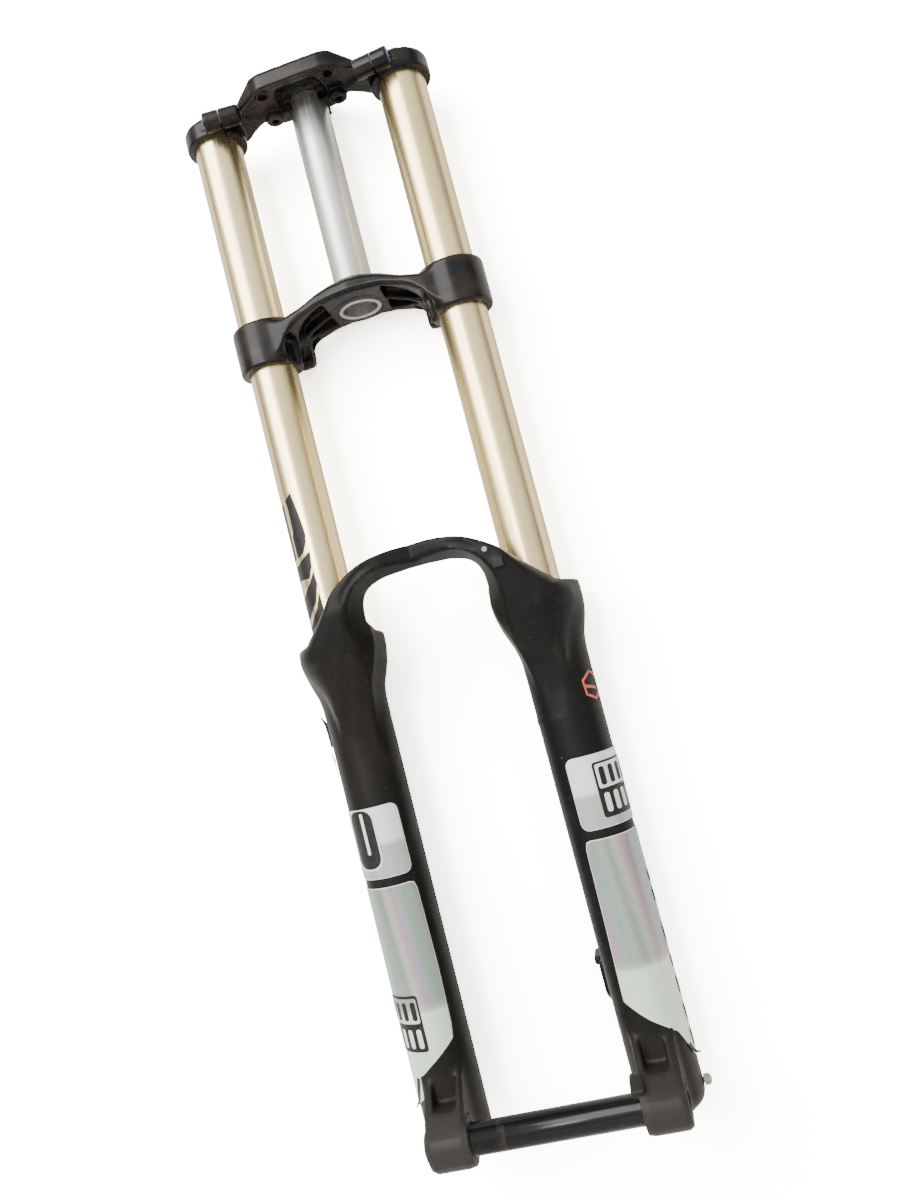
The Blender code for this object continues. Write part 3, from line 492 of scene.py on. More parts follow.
def casting_field(x, y, z):
    s = np.abs(x)
    r = np.hypot(s - STANCHION_X, y - STANCHION_Y)
    leg = (r - leg_radius(z)) * 0.97
    leg = blend_meet(leg, z - LEG_TOP, 1.6)
    leg = blend_meet(leg, LEG_BOTTOM - z, 12)
    arch = blend_cut(arch_field(x, y, z), np.maximum(r - SEAL_ROOM_R, LEG_TOP - z), 1.0)
    fillet = np.interp(z, [-305, LEG_TOP - 9], [4.0, 15.0])
    body = blend_union(leg, arch, fillet * np.clip((LEG_TOP + 4 - z) / 4, 0.2, 1))
    # a flat down each leg's front, turned a little inward, with a crisp lower end
    across = -(s - STANCHION_X) * sin(radians(20)) - (y - STANCHION_Y) * cos(radians(20))
    body = blend_cut(body, blend_meet(facet_depth(z) - across, FACET_END - z, 2.0), 2.5)
    # dropouts: a boss for the axle, two ribs up to the leg and a pocket between them
    side = DROPOUT_SIDE(y, z)
    hub = np.hypot(y - AXLE.y, z - AXLE.z)
    lug = blend_meet(side, slab(s, 57.0, 84.0, 2.0), 3.0)
    pocket = blend_meet(slab(s, 61.8, 77.4, 1.0), -565.5 - z, 3.5)
    lug = blend_cut(lug, np.maximum(pocket, y + 20), 1.6)
    lug = lug + 0.7 * np.clip(1 - np.abs(s - 82.2) / 1.6, 0, 1)
    body = blend_union(body, lug, 3.0)
    seat = blend_meet(hub - 15.2, slab(s, 55.0, 64.0, 0.8), 0.8)
    body = blend_union(body, seat, 0.8)
    lip = blend_meet(HUB_LIP(y, z), slab(x, 51.2, 60.0, 1.0), 1.2)
    body = blend_union(body, lip, 2.0)
    # disc brake posts behind the rider's left leg
    for centre, inner in zip(POST_Z, POST_INNER_X):
        tall = slab(z, centre - POST_HALF, centre + POST_HALF, 3.0)
        post = blend_meet(slab(x, inner, 68.0, 3.0), tall, 5.0)
        post = blend_meet(post, slab(y, -6.0, POST_FACE_Y, 2.0), 2.0)
        body = blend_union(body, post, 4.0)
    tall = slab(z, POST_Z[0] + 7.5, POST_Z[0] + POST_HALF, 2.0)
    flange = blend_meet(slab(x, 43.8, 60.0, 2.0), tall, 2.0)
    body = blend_union(body, blend_meet(flange, slab(y, 2.0, POST_FACE_Y, 2.0), 2.0), 1.0)
    # bosses on the front of the hoop for the brake hose guide
    for bx, bz, size in GUIDE_BOSSES:
        boss = blend_meet(np.hypot(x - bx, z - bz) - size,
                          slab(y, ARCH_FRONT_Y, ARCH_FRONT_Y + 4.0, 0.8), 0.8)
        body = blend_union(body, boss, 0.8)
    # the seal housings' outer sides end flush
    return blend_meet(body, s - CASTING_HIGH.x - 0.6, 1.2)


def build_casting(mat):
    casting = cast_body("cast_lowers", casting_field, CASTING_LOW, CASTING_HIGH, 2.5,
                        1.4)
    top, under = LEG_TOP + 4, LEG_BOTTOM - 6.5
    bore = [(0, top), (SEAL_POCKET_R, top), (SEAL_POCKET_R, SEAL_FLOOR), (LEG_BORE_R, SEAL_FLOOR),
            (LEG_BORE_R, FOOT_FLOOR + 4), (15.0, FOOT_FLOOR), (4.3, FOOT_FLOOR), (4.3, FOOT_SEAT),
            (9.5, FOOT_SEAT), (9.5, under), (0, under)]
    tools = []
    for side, s in SIDES.items():
        tools.append(turned(f"leg_bore_{side}", bore, leg_at(side), ring=False))
        tools.append(rod(f"axle_bore_{side}", AXLE_R + FIT, s * 40, s * 100,
                         (0, AXLE.y, AXLE.z), TO_X))
    for i, z in enumerate(POST_Z):
        tools.append(rod(f"post_hole_{i}", 2.6, 14, 30, (POST_BOLT_X, 0, z), TO_Y, 32))
    guide = node_centre("hose_guide_screw")
    tools.append(rod("guide_hole", 1.8, -70, -48, (guide.x, 0, guide.z), TO_Y, 32))
    plug_at = (0, STANCHION_Y, node_centre("leg_side_screw").z)
    tools.append(rod("side_screw_hole", 2.0, 92, 110, plug_at, TO_X, 32))
    cut(casting, tools)
    return finish_piece(casting, mat, "lower_legs", ["lower_casting"])


# ---------------------------------------------------------------- lower crown
CROWN_LOW, CROWN_HIGH = node_box("lower_crown")
LOWER_CLAMP_R = CROWN_HIGH.x - STANCHION_X
LOWER_CLAMP_Z = (CROWN_LOW.z, -15.0)
LUG_BOLT_Y = node_centre("lower_crown_bolt_left_upper").y
LUG_BOLT_Z = [node_centre(f"lower_crown_bolt_left_{end}").z for end in ("upper", "lower")]
LUG_SLOT_X = 56.6
LUG_SEAT_X = 50.6
STEERER_R = 14.3
STEERER_BASE_R = node_box("steerer_tube")[1].x

beam_top = rounded_profile([(-10, -1.2), (0, -1.2), (12, -2.2), (24, -6.0), (38, -13.0),
                            (50, -16.6), (62, -17.2), (75, -17.2)])
beam_bottom = rounded_profile([(-10, -17.4), (0, -17.4), (10, -17.8), (24, -19.3),
                               (38, -23.6), (46, -28.5), (52, -36.0), (58, -42.0), (75, -44.0)])
beam_front = rounded_profile([(-10, -33.8), (0, -33.8), (14, -33.2), (34, -33.0), (46, -33.2),
                              (54, -33.2), (58, -32.4), (66, -29.0), (75, -26.0)])
beam_rear = rounded_profile([(-10, 22.5), (0, 22.5), (24, 22.0), (42, 20.5), (52, 17.0), (75, 10)])
beam_drop = rounded_profile([(-10, 6.0), (12, 5.5), (24, 4.5), (40, 3.0), (75, 2.0)])


def lower_crown_field(x, y, z):
    s = np.abs(x)
    front, rear = beam_front(s), beam_rear(s)
    top = beam_top(s) - beam_drop(s) * np.clip((front + 15 - y) / 13, 0, 1) ** 1.5
    beam = blend_meet(slab(y, front, rear, 4.0), slab(z, beam_bottom(s), top, 3.0), 4.5)
    beam = np.maximum(beam, s - 74)
    # the underside is hollowed behind a front wall, beside the steerer's boss
    wall = 4.2 + 1.5 * np.clip((s - 34) / 12, 0, 1)
    hollow = slab(y, front + wall, rear - 7.0, 3.0)
    hollow = blend_meet(hollow, slab(s, 21.5, 49.0 - 0.05 * (y + 8) ** 2, 3.0), 5.0)
    hollow = blend_meet(hollow, z - (beam_bottom(s) + 8.0), 2.5)
    rib = blend_meet(np.abs(y + 5.0 - 0.22 * (s - 21)) - 1.1 - 0.07 * (s - 21),
                     z - (beam_bottom(s) + 9.0), 2.0)
    beam = blend_cut(beam, blend_cut(hollow, rib, 2.5), 1.8)
    boss = blend_meet(np.hypot(x, y) - 19.6, slab(z, -17.6, 0.0, 0.8), 0.8)
    ring = blend_meet(np.hypot(x, y) - 21.5, slab(z, -17.9, -10.0, 1.0), 1.2)
    beam = blend_union(blend_union(beam, ring, 1.5), boss, 1.5)
    axis = np.hypot(s - STANCHION_X, y - STANCHION_Y)
    low, high = LOWER_CLAMP_Z
    clamp = blend_meet(axis - LOWER_CLAMP_R + 0.35 * np.clip((z + 22) / 7, 0, 1) ** 2,
                       slab(z, low, high, 2.0), 2.4)
    body = blend_union(beam, clamp, 6.5)
    lug = blend_meet(slab(s, 45.2, 69.0, 3.0), slab(y, -6.0, 21.4, 3.0), 5.0)
    foot = -45.2 + 0.06 * (y - 10) ** 2
    lug = blend_meet(lug, slab(z, foot, -17.6, 3.0), 4.0)
    waist = np.hypot(y + 1.5, (z + 36.0) * 0.6) - 7.0
    lug = blend_cut(lug, np.maximum(waist, s - 52), 3.0)
    body = blend_union(body, lug, 4.0)
    # shallow triangular pocket beside each pinch lug
    web = np.hypot(s - 50.5, (y + 22) * 0.55) - 5.2
    return blend_cut(body, blend_meet(web, z + 30.0, 3.0), 2.0)


def build_lower_crown(mat):
    crown = cast_body("forged_lower_crown", lower_crown_field, CROWN_LOW, CROWN_HIGH, 1,
                      0.8)
    tools = []
    for side, s in SIDES.items():
        tools.append(rod(f"clamp_bore_{side}", STANCHION_R + FIT, -60, 10, leg_at(side), steps=96))
        tools.append(box_tool(f"clamp_slot_{side}", (s * LUG_SLOT_X - 0.9, -8, -60),
                              (s * LUG_SLOT_X + 0.9, 30, 5)))
        for i, z in enumerate(LUG_BOLT_Z):
            at = (0, LUG_BOLT_Y, z)
            tools.append(rod(f"lug_hole_{side}_{i}", BOLT_R + FIT, s * 40, s * 74, at, TO_X, 32))
            tools.append(rod(f"lug_seat_{side}_{i}", HEAD_R + FIT, s * 38, s * LUG_SEAT_X,
                             at, TO_X, 48))
    neck = [(0, 9), (STEERER_R + FIT, 9), (STEERER_R + FIT, 2.3),
            (STEERER_BASE_R + FIT, -1.6), (STEERER_BASE_R + FIT, -30), (0, -30)]
    tools.append(turned("steerer_seat", neck, ring=False))
    cut(crown, tools)
    return finish_piece(crown, mat, "crown_assembly", ["lower_crown"])


# ---------------------------------------------------------------- upper crown
UPPER_LOW, UPPER_HIGH = node_box("upper_crown")
UPPER_CLAMP_R = UPPER_HIGH.x - STANCHION_X
UPPER_CLAMP_Z = (127.7, 142.2)
PLATE_Z = (138.6, 153.5)
BARREL = Vector((58.4, -36.0, 134.2))
BARREL_R = 6.9
BARREL_TURN = 7.0
BARREL_SEAT = 8.0
STEM_HOLE_X = 25.0
STEM_HOLE_Y = (-34.0, -8.5)
STEM_HOLE_R = 2.8
STEERER_BOLT = (20.2, 153.4)
COLLAR_Z = (147.9, 158.9)
COLLAR_R = 20.4
STEM_HUBS = ((5.2, 139.6), (6.8, 136.0))
RECESS_ROOF = 141.2
RECESS_RISE = 7.6
PLATE_HALF = [(17, -46.4), (24, -45.8), (30, -42.6), (34.5, -39.2), (46, -30.5), (54, -23.5),
              (56, -8), (54, 6), (50, 5.0), (41, -3), (31, -7.5), (20, 1)]
RECESS_HALF = [(18, -43.4), (25, -41.6), (42, -29.5), (44, -20), (30, -12.5), (18, -11)]


def mirrored(half):
    return [(-x, y) for x, y in half[::-1]]


plate_top = Stencil(smooth_outline(PLATE_HALF + mirrored(PLATE_HALF), 4))
recess_plan = Stencil(smooth_outline([(0, -43.6)] + RECESS_HALF + [(0, -9)]
                                     + mirrored(RECESS_HALF), 4))


def upper_crown_field(x, y, z):
    s = np.abs(x)
    top = PLATE_Z[1] - np.tan(radians(21)) * np.clip(s - 26, 0, 40)
    slope = 150.4 + (y + 46.4) * np.tan(radians(15))
    top = np.minimum(top, np.maximum(slope, PLATE_Z[1] - 40))
    body = blend_meet(plate_top(x, y), (PLATE_Z[0] - z), 1.2)
    body = blend_meet(body, z - top, 3.2)
    # the recess rises towards the steerer
    rise = np.clip((y + 38) / 18, 0, 1) * np.clip((19.5 - s) / 6, 0, 1)
    roof = RECESS_ROOF + RECESS_RISE * rise * rise * (3 - 2 * rise)
    body = blend_cut(body, blend_meet(recess_plan(x, y), z - roof, 2.5), 1.0)
    for hy, (radius, foot) in zip(STEM_HOLE_Y, STEM_HUBS):
        hub = np.hypot(s - STEM_HOLE_X, y - hy) - radius
        body = blend_union(body, blend_meet(hub, slab(z, foot, 150.5, 1.0), 1.6), 1.2)
    tall = slab(z, *COLLAR_Z, 1.0)
    collar = blend_meet(np.hypot(x, y) - COLLAR_R, tall, 1.4)
    tab = blend_meet(slab(x, -13.2, 13.2, 2.0), slab(y, 8.0, 25.2, 2.0), 3.0)
    tab = blend_meet(tab, tall, 1.4)
    body = blend_union(body, blend_union(collar, tab, 3.0), 2.5)
    axis = np.hypot(s - STANCHION_X, y - STANCHION_Y)
    clamp = blend_meet(axis - UPPER_CLAMP_R, UPPER_CLAMP_Z[0] - z, 2.2)
    clamp = blend_meet(clamp, z - UPPER_CLAMP_Z[1], 3.6)
    body = blend_union(body, clamp, 2.6)
    turn = radians(BARREL_TURN)
    along = (s - BARREL.x) * cos(turn) - (y - BARREL.y) * sin(turn)
    aside = (s - BARREL.x) * sin(turn) + (y - BARREL.y) * cos(turn)
    barrel = blend_meet(np.hypot(aside, z - BARREL.z) - BARREL_R,
                        slab(along, -14.0, 12.2, 1.0), 1.4)
    return blend_union(body, barrel, 1.6)


def barrel_middle(s):
    """The middle of a pinch barrel, turned a little back about +Z."""
    turn = Matrix.Rotation(-s * radians(BARREL_TURN), 4, "Z")
    return Matrix.Translation((s * BARREL.x, BARREL.y, BARREL.z)) @ turn


def barrel_place(s):
    """Axis of a pinch bolt in the upper crown: its +Z runs outward and a little back."""
    return barrel_middle(s) @ Matrix.Rotation(s * pi / 2, 4, "Y")


def build_upper_crown(mat):
    crown = cast_body("forged_upper_crown", upper_crown_field, UPPER_LOW, UPPER_HIGH, 1,
                      0.7)
    tools = []
    hole, seat = BOLT_R + FIT, HEAD_R + FIT
    socket = [(0, 30), (seat, 30), (seat, BARREL_SEAT), (hole, BARREL_SEAT), (hole, -20), (0, -20)]
    for side, s in SIDES.items():
        tools.append(rod(f"upper_bore_{side}", STANCHION_R + FIT, 120, 165, leg_at(side), steps=96))
        tools.append(turned(f"barrel_hole_{side}", socket, turn=barrel_place(s), steps=48,
                            ring=False))
        tools.append(box_tool(f"upper_slot_{side}", (-0.5, -11.5, -14), (0.5, 12.5, 14),
                              barrel_middle(s)))
        for i, y in enumerate(STEM_HOLE_Y):
            at = (s * STEM_HOLE_X, y, 0)
            tools.append(rod(f"stem_hole_{side}_{i}", STEM_HOLE_R, 130, 165, at, steps=32))
            if i == 0:
                tools.append(rod(f"stem_seat_{side}", 3.6, 130, 143.0, at, steps=32))
    tools.append(rod("steerer_bore", STEERER_R + FIT, 120, 170, steps=96))
    tools.append(box_tool("steerer_slot", (-0.9, 12, 130), (0.9, 30, 175)))
    tools.append(turned("steerer_bolt_hole", socket, (0, *STEERER_BOLT), TO_X, 48, ring=False))
    cut(crown, tools)
    return finish_piece(crown, mat, "crown_assembly", ["upper_crown"])


# ---------------------------------------------------------------- turned and small pieces
SEAT = CAP_SEAT + FIT
TUBE_BORE = STANCHION_R - STANCHION_WALL


def build_steerer(mat):
    low, high = (corner.z for corner in node_box("steerer_tube"))
    r, base = STEERER_R, STEERER_BASE_R
    profile = [(r - 0.5, high), (r, high - 0.5), (r, 2.6), (r + 0.4, 1.6), (base - 0.4, -1.4),
               (base, -2.2), (base, low + 0.5), (base - 0.5, low), (13.5, low), (13.0, low + 0.5),
               (13.0, -6.0), (11.9, 12.0), (11.9, high - 0.6), (12.4, high)]
    tube = turned("steerer", profile, steps=128)
    finish_piece(tube, mat, "crown_assembly", ["steerer_tube"])


def build_stanchions(mat):
    low = TUBE_LOW.z
    for side in SIDES:
        profile = [(STANCHION_R - 0.4, CAP_SEAT), (STANCHION_R, CAP_SEAT - 0.4),
                   (STANCHION_R, low + 0.8), (STANCHION_R - 0.8, low), (TUBE_BORE + 0.3, low),
                   (TUBE_BORE, low + 0.3), (TUBE_BORE, CAP_SEAT - 0.3), (TUBE_BORE + 0.3, CAP_SEAT)]
        tube = turned(f"stanchion_tube_{side}", profile, leg_at(side), steps=144)
        finish_piece(tube, mat, "crown_assembly", [f"stanchion_{side}"])


def grip_notches(count, ring, radius, low, high):
    """Round tools standing all about a dial on the rider's right leg."""
    x, y, _ = leg_at("right")
    turns = [2 * pi * i / count for i in range(count)]
    return [rod(f"grip_{i}", radius, low, high, (x + ring * cos(a), y + ring * sin(a), 0), steps=20)
            for i, a in enumerate(turns)]


def build_caps(black):
    """Both top caps, with wrench notches round their rims."""
    inner = TUBE_BORE - FIT
    for side, node, centre in (("right", "compression_top_cap", 6.3),
                               ("left", "air_top_cap", 3.2)):
        rim = STANCHION_R
        profile = [(rim - 1.0, SEAT + 2.4), (rim - 0.3, SEAT + 2.0), (rim, SEAT + 1.3),
                   (rim, SEAT), (inner, SEAT), (inner, SEAT - 14), (centre, SEAT - 14),
                   (centre, SEAT + 1.1), (centre + 0.4, SEAT + 1.5), (rim - 4.6, SEAT + 1.5),
                   (rim - 4.2, SEAT + 2.4)]
        cap = turned(f"{node}_turned", profile, leg_at(side), steps=96)
        tools = []
        for i in range(8):
            turn = Matrix.Rotation(i * pi / 4 + pi / 8, 4, "Z")
            place = Matrix.Translation(leg_at(side)) @ turn
            tools.append(box_tool(f"cap_notch_{side}_{i}", (rim - 2.2, -2.0, SEAT + 0.8),
                                  (rim + 3, 2.0, SEAT + 6), place))
        cut(cap, tools)
        finish_piece(cap, black, "crown_assembly", [node])


def build_air_valve(steel):
    valve = [(0, SEAT + 1.2), (0.9, SEAT + 1.2), (0.9, SEAT + 2.0), (2.3, SEAT + 2.0),
             (2.9, SEAT + 1.5), (2.9, SEAT + 0.9), (2.5, SEAT + 0.7), (2.9, SEAT + 0.4),
             (2.9, SEAT - 22), (0, SEAT - 22)]
    stem = turned("air_valve_stem", valve, leg_at("left"), steps=48, ring=False)
    finish_piece(stem, steel, "crown_assembly", ["air_valve"])


def build_compression_dial(blue):
    low, high = (corner.z for corner in node_box("compression_knob"))
    profile = [(0, high - 0.7), (1.6, high - 0.7), (1.9, high), (5.3, high), (5.9, high - 0.6),
               (5.9, SEAT - 4.0), (3.0, SEAT - 4.0), (3.0, low), (0, low)]
    knob = turned("compression_dial", profile, leg_at("right"), steps=96, ring=False)
    cut(knob, grip_notches(12, 6.5, 1.0, SEAT - 9, SEAT + 9))
    finish_piece(knob, blue, "compression_adjuster", ["compression_knob"])


def socket_bolt(name, place, length, head):
    """Socket-head bolt seated at the origin of `place`, its head along +Z."""
    r, shank = HEAD_R, BOLT_R
    profile = [(0, head), (r - 0.6, head), (r - 0.15, head - 0.2), (r, head - 0.6), (r, 0.25),
               (r - 0.25, 0), (shank, 0), (shank, 0.8 - length), (shank - 0.8, -length),
               (0, -length)]
    bolt = turned(name, profile, turn=place, steps=48, ring=False)
    socket = turned(f"{name}_socket", [(0, head + 1), (2.9, head + 1), (2.9, head * 0.45),
                                       (0, head * 0.45 - 0.8)],
                    turn=place, steps=6, ring=False)
    return cut(bolt, [socket])


def build_bolts(steel, blue):
    for side, s in SIDES.items():
        for i, end in enumerate(("upper", "lower")):
            place = (Matrix.Translation((s * LUG_SEAT_X, LUG_BOLT_Y, LUG_BOLT_Z[i]))
                     @ Matrix.Rotation(-s * pi / 2, 4, "Y"))
            node = f"lower_crown_bolt_{side}_{end}"
            bolt = socket_bolt(f"lug_bolt_{side}_{end}", place, 17.0, 4.7)
            finish_piece(bolt, steel, "crown_assembly", [node])
        place = barrel_place(s) @ Matrix.Translation((0, 0, BARREL_SEAT + FIT))
        bolt = socket_bolt(f"clamp_bolt_{side}", place, 18.0, 4.4)
        finish_piece(bolt, blue, "crown_assembly", [f"upper_crown_bolt_{side}"])
        bolt.data.materials.append(steel)
        inverse = place.inverted()
        for face in bolt.data.polygons:
            if (inverse @ (face.center / MM)).z < 0:
                face.material_index = 1
    place = Matrix.Translation((BARREL_SEAT + FIT, *STEERER_BOLT)) @ TO_X
    bolt = socket_bolt("steerer_clamp_bolt", place, 18.0, 4.2)
    finish_piece(bolt, steel, "crown_assembly", ["steerer_pinch_bolt"])


def build_axle(mat):
    """Hollow axle with a hexagonal key recess in its rider's-right end."""
    low, high = AXLE_LOW.x, AXLE_HIGH.x
    r = AXLE_R
    profile = [(5.0, low), (9.2, low), (r, low + 0.9), (r, -54.0), (r - 0.25, -53.6),
               (r - 0.25, 52.6), (r, 53.0), (r, high - 1.4), (9.3, high), (7.0, high),
               (6.6, high - 0.5), (6.6, low + 6.0), (5.0, low + 6.0)]
    axle = turned("wheel_axle", profile, (0, AXLE.y, AXLE.z), TO_X, 96)
    key = turned("axle_key", [(0, low - 2), (6.3, low - 2), (6.3, low + 5), (0, low + 5)],
                 (0, AXLE.y, AXLE.z), TO_X, 6, ring=False)
    cut(axle, [key])
    finish_piece(axle, mat, "axle", ["through_axle"])


def build_bushings(polymer):
    """Thin bearing sleeves pressed into the legs, round enough to slide on the tubes."""
    for label in ("upper", "lower"):
        for side in SIDES:
            node = f"{label}_bushing_{side}"
            low, high = (corner.z for corner in node_box(node))
            profile = [(17.6, low + 0.4), (18.0, low), (18.5, low), (18.7, low + 0.4),
                       (18.7, high - 0.4), (18.5, high), (18.0, high), (17.6, high - 0.4)]
            sleeve = turned(f"{label}_sleeve_{side}", profile, leg_at(side), steps=96)
            finish_piece(sleeve, polymer, "lower_legs", [node])


def build_seals_and_foot_bolts(black, rubber):
    """Lipped wiper seals at the legs' tops and hollow bolts through their feet."""
    wiper = [(18.1, -253.6), (18.7, -253.2), (19.6, -253.3), (20.2, -254.2), (22.6, -255.6),
             (23.1, -256.2), (23.1, -261.4), (22.9, -261.6), (19.4, -261.6), (19.2, -261.3),
             (17.62, -258.2), (17.62, -257.6), (18.0, -256.2)]
    for side in SIDES:
        seal = turned(f"wiper_{side}", wiper, leg_at(side), steps=96)
        finish_piece(seal, rubber, "lower_legs", [f"wiper_seal_{side}"])
        foot = [(2.0, -560.0), (2.0, -572.0), (4.0, -572.3), (4.0, -592.3), (7.2, -592.3),
                (7.6, -592.7), (7.6, -598.5), (7.1, -599.0), (3.4, -599.0), (3.1, -598.6),
                (3.1, -594.0), (1.2, -593.4), (1.2, -560.0)]
        bolt = turned(f"foot_nut_{side}", foot, leg_at(side), steps=6 * 8)
        finish_piece(bolt, black, "lower_legs", [f"foot_bolt_{side}"])


def build_rebound_dial(red):
    low, high = (corner.z for corner in node_box("rebound_knob"))
    profile = [(0, high), (2.7, high), (2.7, -599.4), (6.7, -599.4), (7.2, -599.9),
               (7.2, -601.9), (6.7, low), (2.2, low), (1.8, low + 0.5), (0, low + 0.5)]
    knob = turned("rebound_dial", profile, leg_at("right"), steps=96, ring=False)
    cut(knob, grip_notches(14, 7.9, 1.1, -606, -596))
    finish_piece(knob, red, "rebound_adjuster", ["rebound_knob"])


def build_hose_guide(rubber, silver):
    """A small rounded saddle with a way through it, and the screw beside it."""
    low, high = node_box("hose_guide")
    guide = box_tool("guide_clip", low, high)
    with editing(guide) as bm:
        bmesh.ops.bevel(bm, geom=bm.edges[:], offset=1.1 * MM, segments=3, profile=0.6,
                        affect="EDGES")
    lean = Matrix.Translation((low + high) / 2) @ Matrix.Rotation(radians(28), 4, "Y")
    cut(guide, [rod("guide_hose_way", 1.3, -9, 9, (0, 0, 0), lean, 24)])
    finish_piece(guide, rubber, "lower_legs", ["hose_guide"])
    at = node_centre("hose_guide_screw")
    out = Matrix.Rotation(pi / 2, 4, "X")
    profile = [(0, 0.7), (0.6, 0.7), (0.8, 1.3), (1.2, 1.2), (1.6, 0.9), (1.8, 0.5), (1.8, 0),
               (1.5, 0), (1.5, -6.6), (1.2, -7.0), (0, -7.0)]
    screw = turned("guide_screw", profile, (at.x, ARCH_FRONT_Y - FIT, at.z), out, 40, ring=False)
    finish_piece(screw, silver, "lower_legs", ["hose_guide_screw"])


def build_side_plug(silver):
    at = node_centre("leg_side_screw")
    profile = [(0, 4.6), (0.9, 4.6), (1.1, 5.3), (2.1, 5.1), (3.1, 4.3), (3.55, 3.0), (3.6, 2.6),
               (3.3, 2.3), (3.3, 1.9), (3.6, 1.6), (3.6, 0.4), (1.7, 0.1), (1.7, -1.9), (0, -1.9)]
    seat = node_box("leg_side_screw")[1].x - 5.4
    screw = turned("side_plug", profile, (seat, at.y, at.z), TO_X, 48, ring=False)
    finish_piece(screw, silver, "lower_legs", ["leg_side_screw"])


# ---------------------------------------------------------------- decals
DECAL_R = 22.72
FILM_R = DECAL_R + 0.2
MARK_R = FILM_R + 0.2
FLAP_THICK = 0.25


def wrapped(name, outline, side, mat, body="lower_legs", radius=DECAL_R, thick=0.1, grid=1.5):
    """A thin closed film on a leg; its outline is (degrees from the front, height)."""
    s = SIDES[side]
    arc_mm = radians(1) * radius
    loop = []
    for (a, za), (b, zb) in zip(outline, outline[1:] + outline[:1]):
        parts = max(1, int(abs(b - a) * arc_mm / grid + 0.9), int(abs(zb - za) / 8 + 0.9))
        loop += [(a + (b - a) * i / parts, za + (zb - za) * i / parts) for i in range(parts)]
    tall_step = 8.0
    even = grid / tall_step
    flat = [Vector((a * arc_mm, z * even)) for a, z in loop]
    wide = [min(v.x for v in flat), max(v.x for v in flat)]
    tall = [min(v.y for v in flat), max(v.y for v in flat)]
    inner = [Vector((u, z)) for u in np.arange(wide[0] + grid / 2, wide[1], grid)
             for z in np.arange(tall[0] + grid / 3, tall[1], grid)]
    count = len(flat)
    points, _, faces, *_ = delaunay_2d_cdt(flat + inner, [], [list(range(count))], 1, 1e-4)
    bm = bmesh.new()
    layers = []
    for lift in (0.0, thick):
        r = radius + lift
        layer = []
        for u, z in points:
            a = u / radius
            layer.append(bm.verts.new(((s * (STANCHION_X + r * sin(a))) * MM,
                                       (STANCHION_Y - r * cos(a)) * MM, z / even * MM)))
        layers.append(layer)
    used = {}
    for face in faces:
        bm.faces.new([layers[0][i] for i in face])
        bm.faces.new([layers[1][i] for i in reversed(face)])
        for a, b in zip(face, face[1:] + face[:1]):
            used[(a, b)] = 1
    for a, b in used:
        if (b, a) not in used:
            bm.faces.new([layers[0][b], layers[0][a], layers[1][a], layers[1][b]])
    loose = [v for v in bm.verts if not v.link_faces]
    bmesh.ops.delete(bm, geom=loose, context="VERTS")
    bmesh.ops.recalc_face_normals(bm, faces=bm.faces)
    return finish_piece(object_from(bm, name), mat, body)


def rounded(low_a, high_a, low_z, high_z, radius):
    """Rounded rectangle in (degrees, height)."""
    across = radius / (radians(1) * DECAL_R)
    corners = [(high_a - across, high_z - radius, 90), (low_a + across, high_z - radius, 180),
               (low_a + across, low_z + radius, 270), (high_a - across, low_z + radius, 360)]
    outline = []
    for a, z, end in corners:
        for i in range(5):
            t = radians(end - 90 + i * 22.5)
            outline.append((a + across * cos(t), z + radius * sin(t)))
    return outline


def build_panels(film, white):
    """An upper and a lower film panel on both legs, each over its white edge."""
    wrap = 142
    for side, inner, edge in (("left", -28, -31), ("right", -44, -45)):
        wrapped(f"panel_edge_upper_{side}", rounded(inner, wrap, -415.4, -367.4, 5.5), side, white)
        wrapped(f"panel_upper_{side}", rounded(inner + 1.6, wrap - 2, -414.8, -368.0, 4.9), side,
                film, radius=FILM_R)
        slant = ([(edge - 5, -526), (0, -538.8), (42, -551), (70, -570)] if side == "left"
                 else [(edge + 4, -527.5), (34, -549), (38, -563)])
        shape = ([(edge + 12, -421.4), (edge + 4, -422.4), (edge + 0.6, -427), (edge, -436),
                  (edge - 2, -480), (edge - 5 if side == "left" else edge, -518)] + slant
                 + [(78, -572), (96, -560), (120, -548), (wrap, -540), (wrap, -421.4)])
        wrapped(f"panel_edge_lower_{side}", shape, side, white)
        shrunk = [(a + (1.4 if a < 0 else -1.5 if a > 120 else 0),
                   z - 0.7 if z > -430 else z + 0.8 if z < -520 else z) for a, z in shape]
        wrapped(f"panel_lower_{side}", shrunk, side, film, radius=FILM_R)


